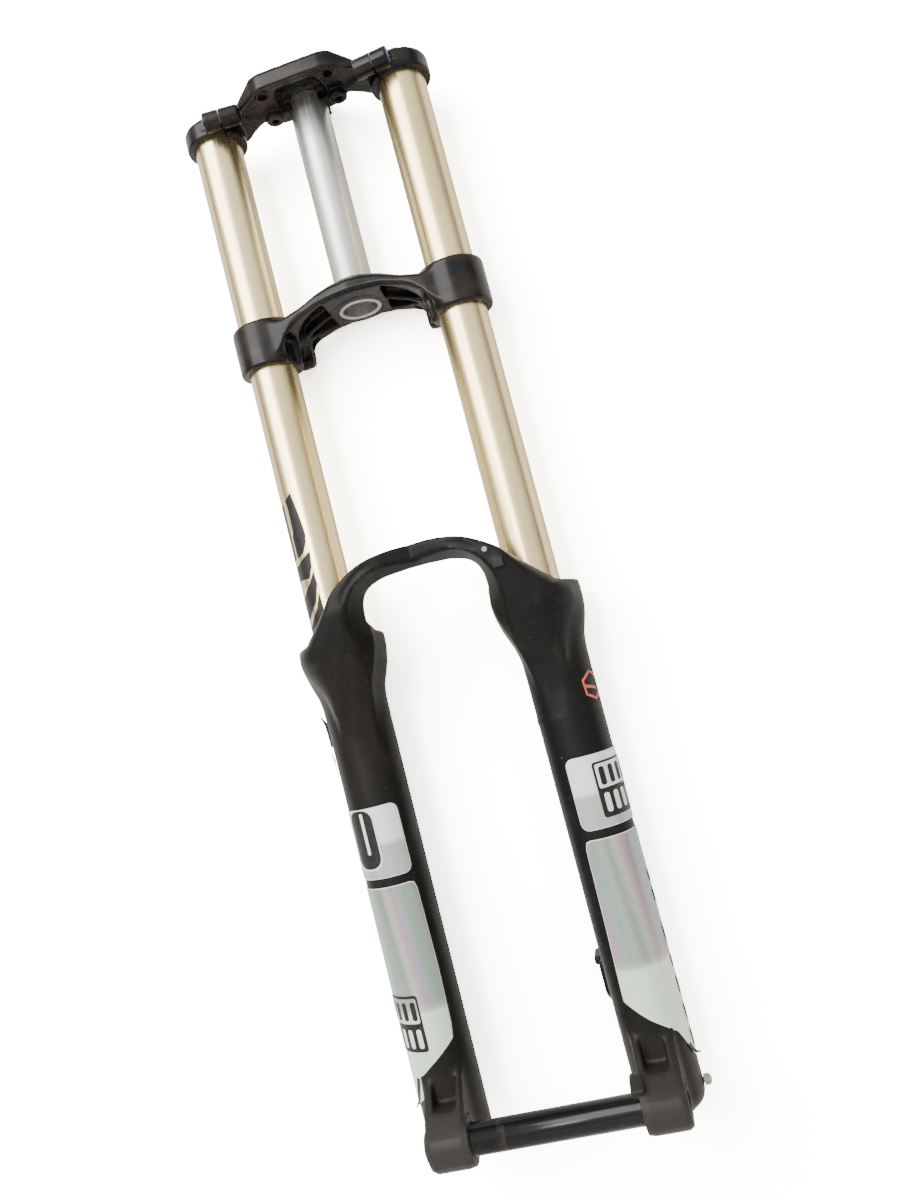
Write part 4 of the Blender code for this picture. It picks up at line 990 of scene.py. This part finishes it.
def build_marks(film, white, dark):
    """Generic blocks and bars where a maker's lettering would be."""
    marks = [("mark_frame", "left", (15, 118, -409.4, -373.0, 2.0), dark, 0.0),
             ("mark_frame_fill", "left", (19, 114, -390.4, -374.4, 1.4), film, 0.2)]
    for i, a in enumerate((24, 42, 60, 78, 96)):
        marks += [(f"mark_bar_upper_{i}", "left", (a, a + 10, -388.6, -376.4, 1.6), dark, 0.4),
                  (f"mark_bar_lower_{i}", "left", (a - 1, a + 9, -406.2, -393.6, 1.6), white, 0.2)]
    marks += [("mark_pill_edge", "right", (1.5, 56, -409.5, -368.2, 8.0), white, 0.0),
              ("mark_pill", "right", (4.5, 53, -408.0, -368.2, 7.2), dark, 0.3),
              ("mark_pill_slot", "right", (20, 26, -398.5, -370.0, 1.1), white, 0.5),
              ("mark_box", "right", (3, 112, -531.4, -494.2, 2.0), dark, 0.0),
              ("mark_box_fill", "right", (6, 109, -512.6, -496.0, 1.4), film, 0.2)]
    for i, a in enumerate((9, 26, 43, 60, 77, 94)):
        marks += [(f"mark_box_bar_{i}", "right", (a, a + 9, -510.6, -498.4, 1.6), dark, 0.4),
                  (f"mark_box_bar_low_{i}", "right", (a, a + 9, -529.0, -516.4, 1.6), white, 0.2)]
    for name, side, place, mat, lift in marks:
        wrapped(name, rounded(*place), side, mat, radius=MARK_R + lift)
    for i, (z, tall) in enumerate(((-452, 7), (-464, 9), (-488, 12), (-508, 8), (-522, 12),
                                   (-540, 11), (-556, 12))):
        wrapped(f"edge_mark_{i}", [(74, z), (80, z + 2), (92, z - tall * 0.4), (88, z - tall),
                                   (76, z - tall * 0.8)], "left", dark, radius=MARK_R)


def build_tube_graphic(dark):
    """Plain slanted blocks, thin enough to pass through the seal and the bushings."""
    blocks = [[(15, -141.5), (8, -156), (3.5, -168), (2.5, -173), (6, -179), (18, -185),
               (34, -187.5), (41, -187.5), (41, -172), (35, -169), (33, -152), (36, -145.5)],
              [(47, -147), (92, -150), (92, -188), (47, -188)],
              [(2, -185.5), (44, -192.5), (92, -194), (92, -206), (50, -203.5), (18, -204),
               (6, -196)],
              [(5, -199.5), (3, -209), (16, -221), (48, -231), (92, -235), (92, -219),
               (50, -215), (20, -207)],
              [(4, -215), (2, -227), (14, -239), (42, -248), (92, -252), (92, -241),
               (46, -235), (18, -226)]]
    for i, block in enumerate(blocks):
        wrapped(f"tube_block_{i}", block, "right", dark, "crown_assembly",
                STANCHION_R + 0.004, 0.01, grid=0.7)


def build_emblem(orange):
    """A plain hexagon outline with a short bar, in orange print."""
    centre, z0, arc_mm = 62.0, -324.0, radians(1) * DECAL_R
    outer, inner = [], []
    for i in range(7):
        t = radians(60 * i + 94)
        for ring, size in ((outer, 10.4), (inner, 8.4)):
            ring.append((centre + size * cos(t) / arc_mm, z0 + size * sin(t)))
    outer[-1] = (outer[-1][0] + 0.6 / arc_mm, outer[-1][1])
    inner[-1] = (inner[-1][0] + 0.6 / arc_mm, inner[-1][1])
    wrapped("emblem_hexagon", outer + inner[::-1], "left", orange, grid=1.2)
    bar = [(centre - 8.6 / arc_mm, z0 + 1.6), (centre + 4.5 / arc_mm, z0 - 1.6),
           (centre + 4.5 / arc_mm, z0 - 3.6), (centre - 8.6 / arc_mm, z0 - 0.6)]
    wrapped("emblem_bar", bar, "left", orange, grid=1.2)


def build_flap(name, side, mat, along, width):
    """A torn strip of film; along is its (degrees, height, lift) from root to tip."""
    s = SIDES[side]
    count = len(along)
    rows = []
    for i, (a, z, lift) in enumerate(along):
        half = width * (1 - 0.75 * (i / (count - 1)) ** 2) / 2
        row = []
        for k in (-1, 0, 1):
            for layer in (0, FLAP_THICK):
                r = FILM_R + lift + layer + (k * half) ** 2 * 0.05
                turn = radians(a) + k * half / DECAL_R
                row.append(((s * (STANCHION_X + r * sin(turn))) * MM,
                            (STANCHION_Y - r * cos(turn)) * MM, (z + 0.3 * k) * MM))
        rows.append([row[0], row[2], row[4], row[5], row[3], row[1]])
    points = [p for row in rows for p in row]
    faces = [tuple(range(6)), tuple(range(len(points) - 6, len(points)))]
    for i in range(count - 1):
        for k in range(6):
            a, b = i * 6 + k, i * 6 + (k + 1) % 6
            faces.append((a, b, b + 6, a + 6))
    obj = mesh_object(name, points, faces)
    with editing(obj) as bm:
        bmesh.ops.recalc_face_normals(bm, faces=bm.faces)
    return finish_piece(obj, mat, "lower_legs", sharp=60)


def build_torn_film(dark):
    build_flap("torn_film_upper", "right", dark,
               [(84, -322, 0.0), (88, -313, 0.5), (91, -305, 1.8), (93, -300, 4.6)], 7.0)
    build_flap("torn_film_middle", "right", dark,
               [(66, -342, 0.0), (76, -337, 0.4), (86, -332, 1.0), (91, -327, 2.9)], 5.0)
    build_flap("torn_corner_right", "right", dark,
               [(40, -549, 0.0), (46, -556, 0.1), (52, -562, 0.3), (58, -567, 1.0),
                (64, -570, 2.6)], 3.0)
    build_flap("torn_corner_left", "left", dark,
               [(60, -562, 0.0), (68, -567, 0.2), (76, -570, 0.9), (84, -571.5, 2.8)], 3.0)


# ---------------------------------------------------------------- materials
def set_stops(node, stops):
    """Gives a colour ramp its (place, grey or colour) stops."""
    elements = node.color_ramp.elements
    while len(elements) < len(stops):
        elements.new(0.5)
    for element, (at, shade) in zip(elements, stops):
        element.position = at
        element.color = (*(shade if isinstance(shade, tuple) else (shade,) * 3), 1)


class Look:
    """Builds one procedural material around a Principled shader."""

    def __init__(self, name, colour, rough, metallic=0.0, coat=0.0, coat_rough=0.1,
                 specular=0.5):
        self.mat = bpy.data.materials.new(name)
        self.mat.use_nodes = True
        self.tree = self.mat.node_tree
        self.shader = self.tree.nodes["Principled BSDF"]
        settings = {"Base Color": (*colour, 1), "Roughness": rough, "Metallic": metallic,
                    "Coat Weight": coat, "Coat Roughness": coat_rough,
                    "Specular IOR Level": specular}
        for socket, value in settings.items():
            self.shader.inputs[socket].default_value = value
        self.coords = self.add("TexCoord").outputs["Object"]
        self.mat.diffuse_color = (*colour, 1)

    def add(self, kind):
        return self.tree.nodes.new(f"ShaderNode{kind}")

    def link(self, source, node, name):
        self.tree.links.new(source, node.inputs[name])

    def noise(self, scale, detail=4.0, stretch=(1, 1, 1), distortion=0.0):
        """A noise pattern; stretch squeezes it along each axis."""
        place = self.add("Mapping")
        place.inputs["Scale"].default_value = stretch
        self.link(self.coords, place, "Vector")
        node = self.add("TexNoise")
        node.inputs["Scale"].default_value = scale
        node.inputs["Detail"].default_value = detail
        node.inputs["Distortion"].default_value = distortion
        self.link(place.outputs["Vector"], node, "Vector")
        return node.outputs["Fac"]

    def ramp(self, source, stops):
        """Turns a value into the greys or colours of its (place, shade) stops."""
        node = self.add("ValToRGB")
        set_stops(node, stops)
        self.link(source, node, "Fac")
        return node.outputs["Color"]

    def cloud(self, stops, *pattern):
        """A noise pattern turned into greys or colours."""
        return self.ramp(self.noise(*pattern), stops)

    def mix(self, amount, first, second, blend="MIX"):
        """Blends two colours; each is a socket or a plain colour."""
        node = self.add("Mix")
        node.data_type = "RGBA"
        node.blend_type = blend
        factor, a, b = node.inputs[0], node.inputs[6], node.inputs[7]
        for socket, value in ((factor, amount), (a, first), (b, second)):
            if isinstance(value, tuple):
                socket.default_value = (*value, 1)
            elif isinstance(value, float):
                socket.default_value = value
            else:
                self.tree.links.new(value, socket)
        return node.outputs[2]

    def maths(self, operation, first, second):
        node = self.add("Math")
        node.operation = operation
        for i, value in enumerate((first, second)):
            if isinstance(value, float):
                node.inputs[i].default_value = value
            else:
                self.tree.links.new(value, node.inputs[i])
        return node.outputs["Value"]

    def axis(self, letter):
        node = self.add("SeparateXYZ")
        self.link(self.coords, node, "Vector")
        return node.outputs[letter]

    def worn_edges(self, low, high):
        """Strongest along sharp outer edges, broken up by a fine pattern."""
        point = self.add("NewGeometry").outputs["Pointiness"]
        edge = self.ramp(point, [(low, 0.0), (high, 1.0)])
        chips = self.cloud([(0.42, 0.0), (0.56, 1.0)], 260, 5.0)
        return self.maths("MULTIPLY", edge, chips)

    def bump(self, height, strength, distance):
        node = self.add("Bump")
        node.inputs["Strength"].default_value = strength
        node.inputs["Distance"].default_value = distance
        self.link(height, node, "Height")
        self.link(node.outputs["Normal"], self.shader, "Normal")

    def colour(self, socket):
        self.link(socket, self.shader, "Base Color")

    def rough(self, socket):
        self.link(socket, self.shader, "Roughness")


def magnesium_look():
    """Satin black paint over cast magnesium, with a brown cast, small chips and painted light
    towards the dropouts.
    """
    look = Look("satin_black_magnesium", (0.012, 0.012, 0.012), 0.42, specular=0.16)
    base = look.cloud([(0.35, (0.0050, 0.0052, 0.0058)), (0.62, (0.0105, 0.0088, 0.0068))],
                      9, 3.0, (1, 1, 0.6))
    dust = look.cloud([(0.55, 0.0), (0.75, 0.35)], 90, 6.0, (1, 1, 0.35))
    base = look.mix(dust, base, (0.034, 0.028, 0.022))
    # painted light: the black is made paler towards the dropouts, where they catch the light
    depth = look.maths("MULTIPLY", look.axis("Z"), -1.0)
    dropout_painted_light = look.ramp(depth, [(0.545, 0.0), (0.585, 0.75)])
    base = look.mix(dropout_painted_light, base, (0.040, 0.035, 0.031))
    specks = look.cloud([(0.74, 0.0), (0.78, 0.5)], 900, 2.0)
    look.colour(look.mix(specks, base, (0.3, 0.28, 0.25)))
    look.rough(look.cloud([(0.3, 0.36), (0.7, 0.50)], 30, 5.0, (1, 1, 0.5)))
    look.bump(look.noise(1400, 3.0), 0.12, 0.0004)
    return look.mat


def forged_look():
    """Gloss black over forged aluminium, rubbed through along its edges."""
    look = Look("gloss_black_forging", (0.006, 0.006, 0.007), 0.26, 0.0, 0.03, 0.12, 0.2)
    tint = look.cloud([(0.42, (0.0045, 0.0045, 0.005)), (0.70, (0.030, 0.021, 0.015))],
                      28, 4.0, (1, 1, 2.0))
    patches = look.cloud([(0.45, 0.1), (0.62, 1.0)], 60, 4.0)
    rubbed = look.maths("MULTIPLY", look.worn_edges(0.56, 0.66), patches)
    base = look.mix(rubbed, tint, (0.13, 0.088, 0.06))
    scuff = look.cloud([(0.70, 0.0), (0.78, 0.3)], 160, 6.0, (1, 1, 3.0))
    look.colour(look.mix(scuff, base, (0.08, 0.065, 0.05)))
    look.rough(look.cloud([(0.3, 0.20), (0.7, 0.36)], 45, 5.0))
    look.bump(look.noise(500, 3.0), 0.06, 0.0004)
    return look.mat


def tube_metal_look(name, pale, deep, rough, stains):
    """Ground metal tube: fine lengthwise streaks, faint stains, a few scuffs and painted edge
    shade.
    """
    look = Look(name, pale, rough, 1.0)
    streak = look.noise(420, 5.0, (1, 1, 0.02))
    base = look.mix(look.cloud([(0.35, 0.0), (0.7, 1.0)], 11, 3.0, (1, 1, 0.5)), pale, deep)
    base = look.mix(look.ramp(streak, [(0.35, 0.0), (0.75, 0.35)]), base, deep)
    scuff = look.cloud([(0.62, 0.0), (0.68, stains)], 75, 8.0, (1, 1, 0.8), 1.2)
    base = look.mix(scuff, base, tuple(c * 0.62 for c in deep))
    # painted shade: the colour is darkened where the tube turns away from view
    facing = look.add("LayerWeight")
    facing.inputs["Blend"].default_value = 0.5
    painted_edge_shade = look.ramp(facing.outputs["Facing"], [(0.30, 0.0), (0.75, 0.85)])
    look.colour(look.mix(painted_edge_shade, base, tuple(c * 0.6 for c in deep)))
    look.rough(look.ramp(streak, [(0.3, rough - 0.05), (0.7, rough + 0.08)]))
    return look.mat


def axle_look():
    """Gloss black tube with faint turning rings and a worn band towards its key end."""
    look = Look("gloss_black_axle", (0.006, 0.006, 0.007), 0.2, 0.0, 0.08, 0.06, 0.22)
    rings = look.cloud([(0.45, 0.0), (0.8, 0.2)], 260, 4.0, (1, 0.02, 0.02))
    base = look.mix(rings, (0.005, 0.005, 0.006), (0.014, 0.013, 0.012))
    band = look.maths("COMPARE", look.axis("X"), -0.035)
    band.node.inputs[2].default_value = 0.0025
    worn = look.maths("MULTIPLY", band, look.cloud([(0.4, 0.0), (0.6, 0.6)], 200, 5.0))
    look.colour(look.mix(worn, base, (0.035, 0.028, 0.022)))
    look.rough(look.cloud([(0.3, 0.15), (0.7, 0.22)], 120, 4.0, (1, 0.1, 0.1)))
    return look.mat


def anodised_look(name, colour, deep, metallic=0.8, rough=0.28):
    look = Look(name, colour, rough, metallic)
    base = look.mix(look.cloud([(0.35, 0.0), (0.7, 1.0)], 180, 5.0), colour, deep)
    look.colour(look.mix(look.worn_edges(0.54, 0.62), base, (0.45, 0.43, 0.40)))
    look.rough(look.cloud([(0.3, rough - 0.06), (0.7, rough + 0.1)], 240, 4.0))
    return look.mat


def plain_look(name, colour, deep, rough, metallic=0.0, grain=300):
    look = Look(name, colour, rough, metallic, specular=0.3)
    look.colour(look.mix(look.cloud([(0.3, 0.0), (0.7, 1.0)], grain, 6.0), colour, deep))
    look.rough(look.cloud([(0.3, rough - 0.07), (0.7, rough + 0.1)], grain * 0.5, 4.0))
    look.bump(look.noise(grain * 4, 3.0), 0.15, 0.0003)
    return look.mat


def film_look():
    """Silvery diffraction film: pale lengthwise bands that turn faintly green and pink."""
    look = Look("silver_diffraction_film", (0.62, 0.63, 0.62), 0.30, 0.25, 0.5, 0.1)
    along = look.axis("Z")
    slanted = look.maths("ADD", look.axis("X"), look.maths("MULTIPLY", along, 0.055))
    wave = look.maths("MULTIPLY", slanted, 38.0)
    wobble = look.maths("MULTIPLY", look.noise(18, 2.0, (1, 1, 0.15)), 0.35)
    turn = look.maths("FRACT", look.maths("ADD", wave, wobble), 0.0)
    rainbow = look.ramp(turn, [(0.0, (0.38, 0.39, 0.40)), (0.16, (0.20, 0.32, 0.18)),
                               (0.32, (0.56, 0.57, 0.50)), (0.50, (0.52, 0.28, 0.38)),
                               (0.66, (0.32, 0.37, 0.46)), (0.84, (0.20, 0.42, 0.26)),
                               (1.0, (0.38, 0.39, 0.40))])
    # a whiter field and a greyer one meet across each panel
    height = look.maths("MULTIPLY", along, -1.0)
    upper = look.ramp(height, [(0.3935, (0.93, 0.93, 0.94)), (0.3945, (0.50, 0.49, 0.49)),
                               (0.4180, (0.50, 0.49, 0.49)), (0.4190, (0.27, 0.30, 0.26)),
                               (0.5035, (0.31, 0.34, 0.30)), (0.5050, (0.84, 1.0, 0.84))])
    amount = look.ramp(height, [(0.3935, 0.02), (0.3950, 0.25), (0.4180, 0.25), (0.4190, 0.60),
                                (0.5035, 0.60), (0.5050, 0.22)])
    look.colour(look.mix(amount, upper, rainbow))
    look.rough(look.cloud([(0.3, 0.22), (0.7, 0.40)], 300, 4.0, (1, 1, 0.03)))
    return look.mat


# ---------------------------------------------------------------- camera, lights and stage
FOCAL = 28.30
CAMERA_AT = Vector((114.0, -660.7, -302.0))
CAMERA_AXES = ((0.95283, 0.17234, -0.24983), (-0.26117, 0.04624, -0.96418),
               (-0.15461, 0.98395, 0.08907))
BACK_Y = 27.0
WHITE_GAIN = 9.0
STAGE_HALF = 2.5        # metres, as is the floor's height
FLOOR_Z = -1.1


def build_camera():
    data = bpy.data.cameras.new("front_camera")
    data.lens = FOCAL
    data.sensor_width = 36.0
    data.clip_start, data.clip_end = 0.01, 50.0
    camera = linked("front_camera", data)
    right, down, ahead = (Vector(axis) for axis in CAMERA_AXES)
    turn = Matrix((right, -down, -ahead)).transposed().to_4x4()
    camera.matrix_world = Matrix.Translation(CAMERA_AT * MM) @ turn
    bpy.context.scene.camera = camera


def area_light(name, at, towards, size, power, colour=(1, 1, 1)):
    data = bpy.data.lights.new(name, "AREA")
    data.shape = "RECTANGLE"
    data.size, data.size_y = size
    data.energy = power
    data.color = colour
    lamp = linked(name, data)
    lamp.location = at
    lamp.rotation_mode = "QUATERNION"
    lamp.rotation_quaternion = (Vector(towards) - Vector(at)).to_track_quat("-Z", "Y")


def build_stage():
    """White table the fork lies on, clear from behind, and a floor well below."""
    look = Look("white_table", (0.9, 0.9, 0.88), 0.75)
    # seen directly, the table is printed up to a clean white; it lights the fork as plain white
    seen = look.add("LightPath").outputs["Is Camera Ray"]
    bright = tuple(WHITE_GAIN * c for c in (1.0, 0.985, 0.94))
    gain = look.mix(seen, (0.88, 0.875, 0.86), bright)
    shade = look.cloud([(0.3, 0.97), (0.7, 1.0)], 1.2, 3.0)
    paper = look.add("BsdfDiffuse")
    look.link(look.mix(1.0, gain, shade, "MULTIPLY"), paper, "Color")
    either = look.add("MixShader")
    look.link(look.add("NewGeometry").outputs["Backfacing"], either, 0)
    look.link(paper.outputs[0], either, 1)
    look.link(look.add("BsdfTransparent").outputs[0], either, 2)
    look.link(either.outputs[0], look.tree.nodes["Material Output"], "Surface")
    pale = plain_look("pale_floor", (0.66, 0.65, 0.63), (0.62, 0.61, 0.59), 0.8, 0.0, 3)
    square = [(-STAGE_HALF, -STAGE_HALF), (STAGE_HALF, -STAGE_HALF), (STAGE_HALF, STAGE_HALF),
              (-STAGE_HALF, STAGE_HALF)]
    table = mesh_object("table_top", [(a, BACK_Y * MM, b) for a, b in square], [(0, 1, 2, 3)])
    floor = mesh_object("floor", [(a, b, FLOOR_Z) for a, b in square], [(0, 1, 2, 3)])
    table.data.materials.append(look.mat)
    floor.data.materials.append(pale)


def map_range(tree, source, low, high, to_low=0.0, to_high=1.0):
    node = tree.nodes.new("ShaderNodeMapRange")
    for socket, value in (("From Min", low), ("From Max", high), ("To Min", to_low),
                          ("To Max", to_high)):
        node.inputs[socket].default_value = value
    tree.links.new(source, node.inputs["Value"])
    return node.outputs["Result"]


def build_world():
    """A soft room: bright in front, dim behind and stronger towards its ceiling."""
    world = bpy.data.worlds.new("soft_room")
    bpy.context.scene.world = world
    world.use_nodes = True
    tree = world.node_tree
    back = tree.nodes["Background"]
    coords = tree.nodes.new("ShaderNodeTexCoord")
    split = tree.nodes.new("ShaderNodeSeparateXYZ")
    tree.links.new(coords.outputs["Generated"], split.inputs[0])
    ramp = tree.nodes.new("ShaderNodeValToRGB")
    set_stops(ramp, [(0.0, (1.0, 0.99, 0.97)), (0.22, (0.85, 0.84, 0.82)),
                     (0.40, (0.20, 0.19, 0.18)), (0.50, (0.12, 0.115, 0.11)), (1.0, 0.3)])
    tree.links.new(map_range(tree, split.outputs["Y"], -1.0, 1.0), ramp.inputs["Fac"])
    tree.links.new(ramp.outputs["Color"], back.inputs["Color"])
    strength = map_range(tree, split.outputs["Z"], -0.8, 0.3, 0.45, 1.6)
    tree.links.new(strength, back.inputs["Strength"])


def build_lights():
    target = (0, 0, -0.25)
    area_light("window", (-1.0, -1.7, 0.9), target, (1.6, 1.6), 70, (1.0, 0.99, 0.97))
    area_light("lamp", (-0.5, -2.2, 0.2), target, (0.5, 0.5), 12, (1.0, 0.98, 0.95))


# ---------------------------------------------------------------- the whole fork
def coat_hidden_nodes(by_word, other):
    """Gives the CAD nodes inside the tubes a look that suits their names."""
    for name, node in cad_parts.items():
        if node.hide_render:
            continue
        looks = [mat for word, mat in by_word.items() if word in name]
        node.data.materials.clear()
        node.data.materials.append(looks[0] if looks else other)


def build_all():
    magnesium = magnesium_look()
    forging = forged_look()
    gold = tube_metal_look("champagne_anodised", (0.98, 0.82, 0.47), (0.84, 0.67, 0.33), 0.27, 0.10)
    silver = tube_metal_look("turned_aluminium", (0.88, 0.88, 0.88), (0.74, 0.74, 0.74), 0.40, 0.28)
    black = anodised_look("black_anodised_turned", (0.010, 0.010, 0.011), (0.02, 0.019, 0.018))
    blue = anodised_look("blue_anodised_turned", (0.03, 0.12, 0.40), (0.02, 0.07, 0.25))
    red = anodised_look("red_anodised_turned", (0.42, 0.03, 0.02), (0.25, 0.015, 0.01))
    steel = plain_look("brushed_steel", (0.42, 0.41, 0.40), (0.28, 0.27, 0.26), 0.34, 1.0)
    rubber = plain_look("black_rubber", (0.012, 0.012, 0.012), (0.024, 0.023, 0.022), 0.62)
    polymer = plain_look("bearing_polymer", (0.20, 0.17, 0.12), (0.13, 0.11, 0.08), 0.5)
    foam = plain_look("oiled_foam", (0.16, 0.15, 0.13), (0.09, 0.085, 0.075), 0.9)
    plug = plain_look("grey_plug", (0.42, 0.41, 0.38), (0.30, 0.29, 0.27), 0.45)
    white = plain_look("white_print", (0.82, 0.82, 0.81), (0.74, 0.74, 0.73), 0.35)
    dark = plain_look("black_print", (0.008, 0.008, 0.008), (0.015, 0.015, 0.014), 0.4)
    orange = plain_look("orange_print", (0.70, 0.13, 0.09), (0.52, 0.09, 0.06), 0.4)
    film = film_look()
    build_casting(magnesium)
    build_lower_crown(forging)
    build_upper_crown(forging)
    build_steerer(silver)
    build_stanchions(gold)
    build_caps(black)
    build_air_valve(steel)
    build_compression_dial(blue)
    build_bolts(steel, blue)
    build_axle(axle_look())
    build_bushings(polymer)
    build_seals_and_foot_bolts(black, rubber)
    build_rebound_dial(red)
    build_hose_guide(rubber, plug)
    build_side_plug(plug)
    build_panels(film, white)
    build_marks(film, white, dark)
    build_tube_graphic(dark)
    build_emblem(orange)
    build_torn_film(dark)
    coat_hidden_nodes({"crush": polymer, "foam": foam, "bumper": rubber, "piston": silver,
                       "shaft": steel, "seal_head": black, "compression_valve": silver}, black)


build_all()
build_camera()
build_world()
build_lights()
build_stage()
bpy.context.view_layer.update()
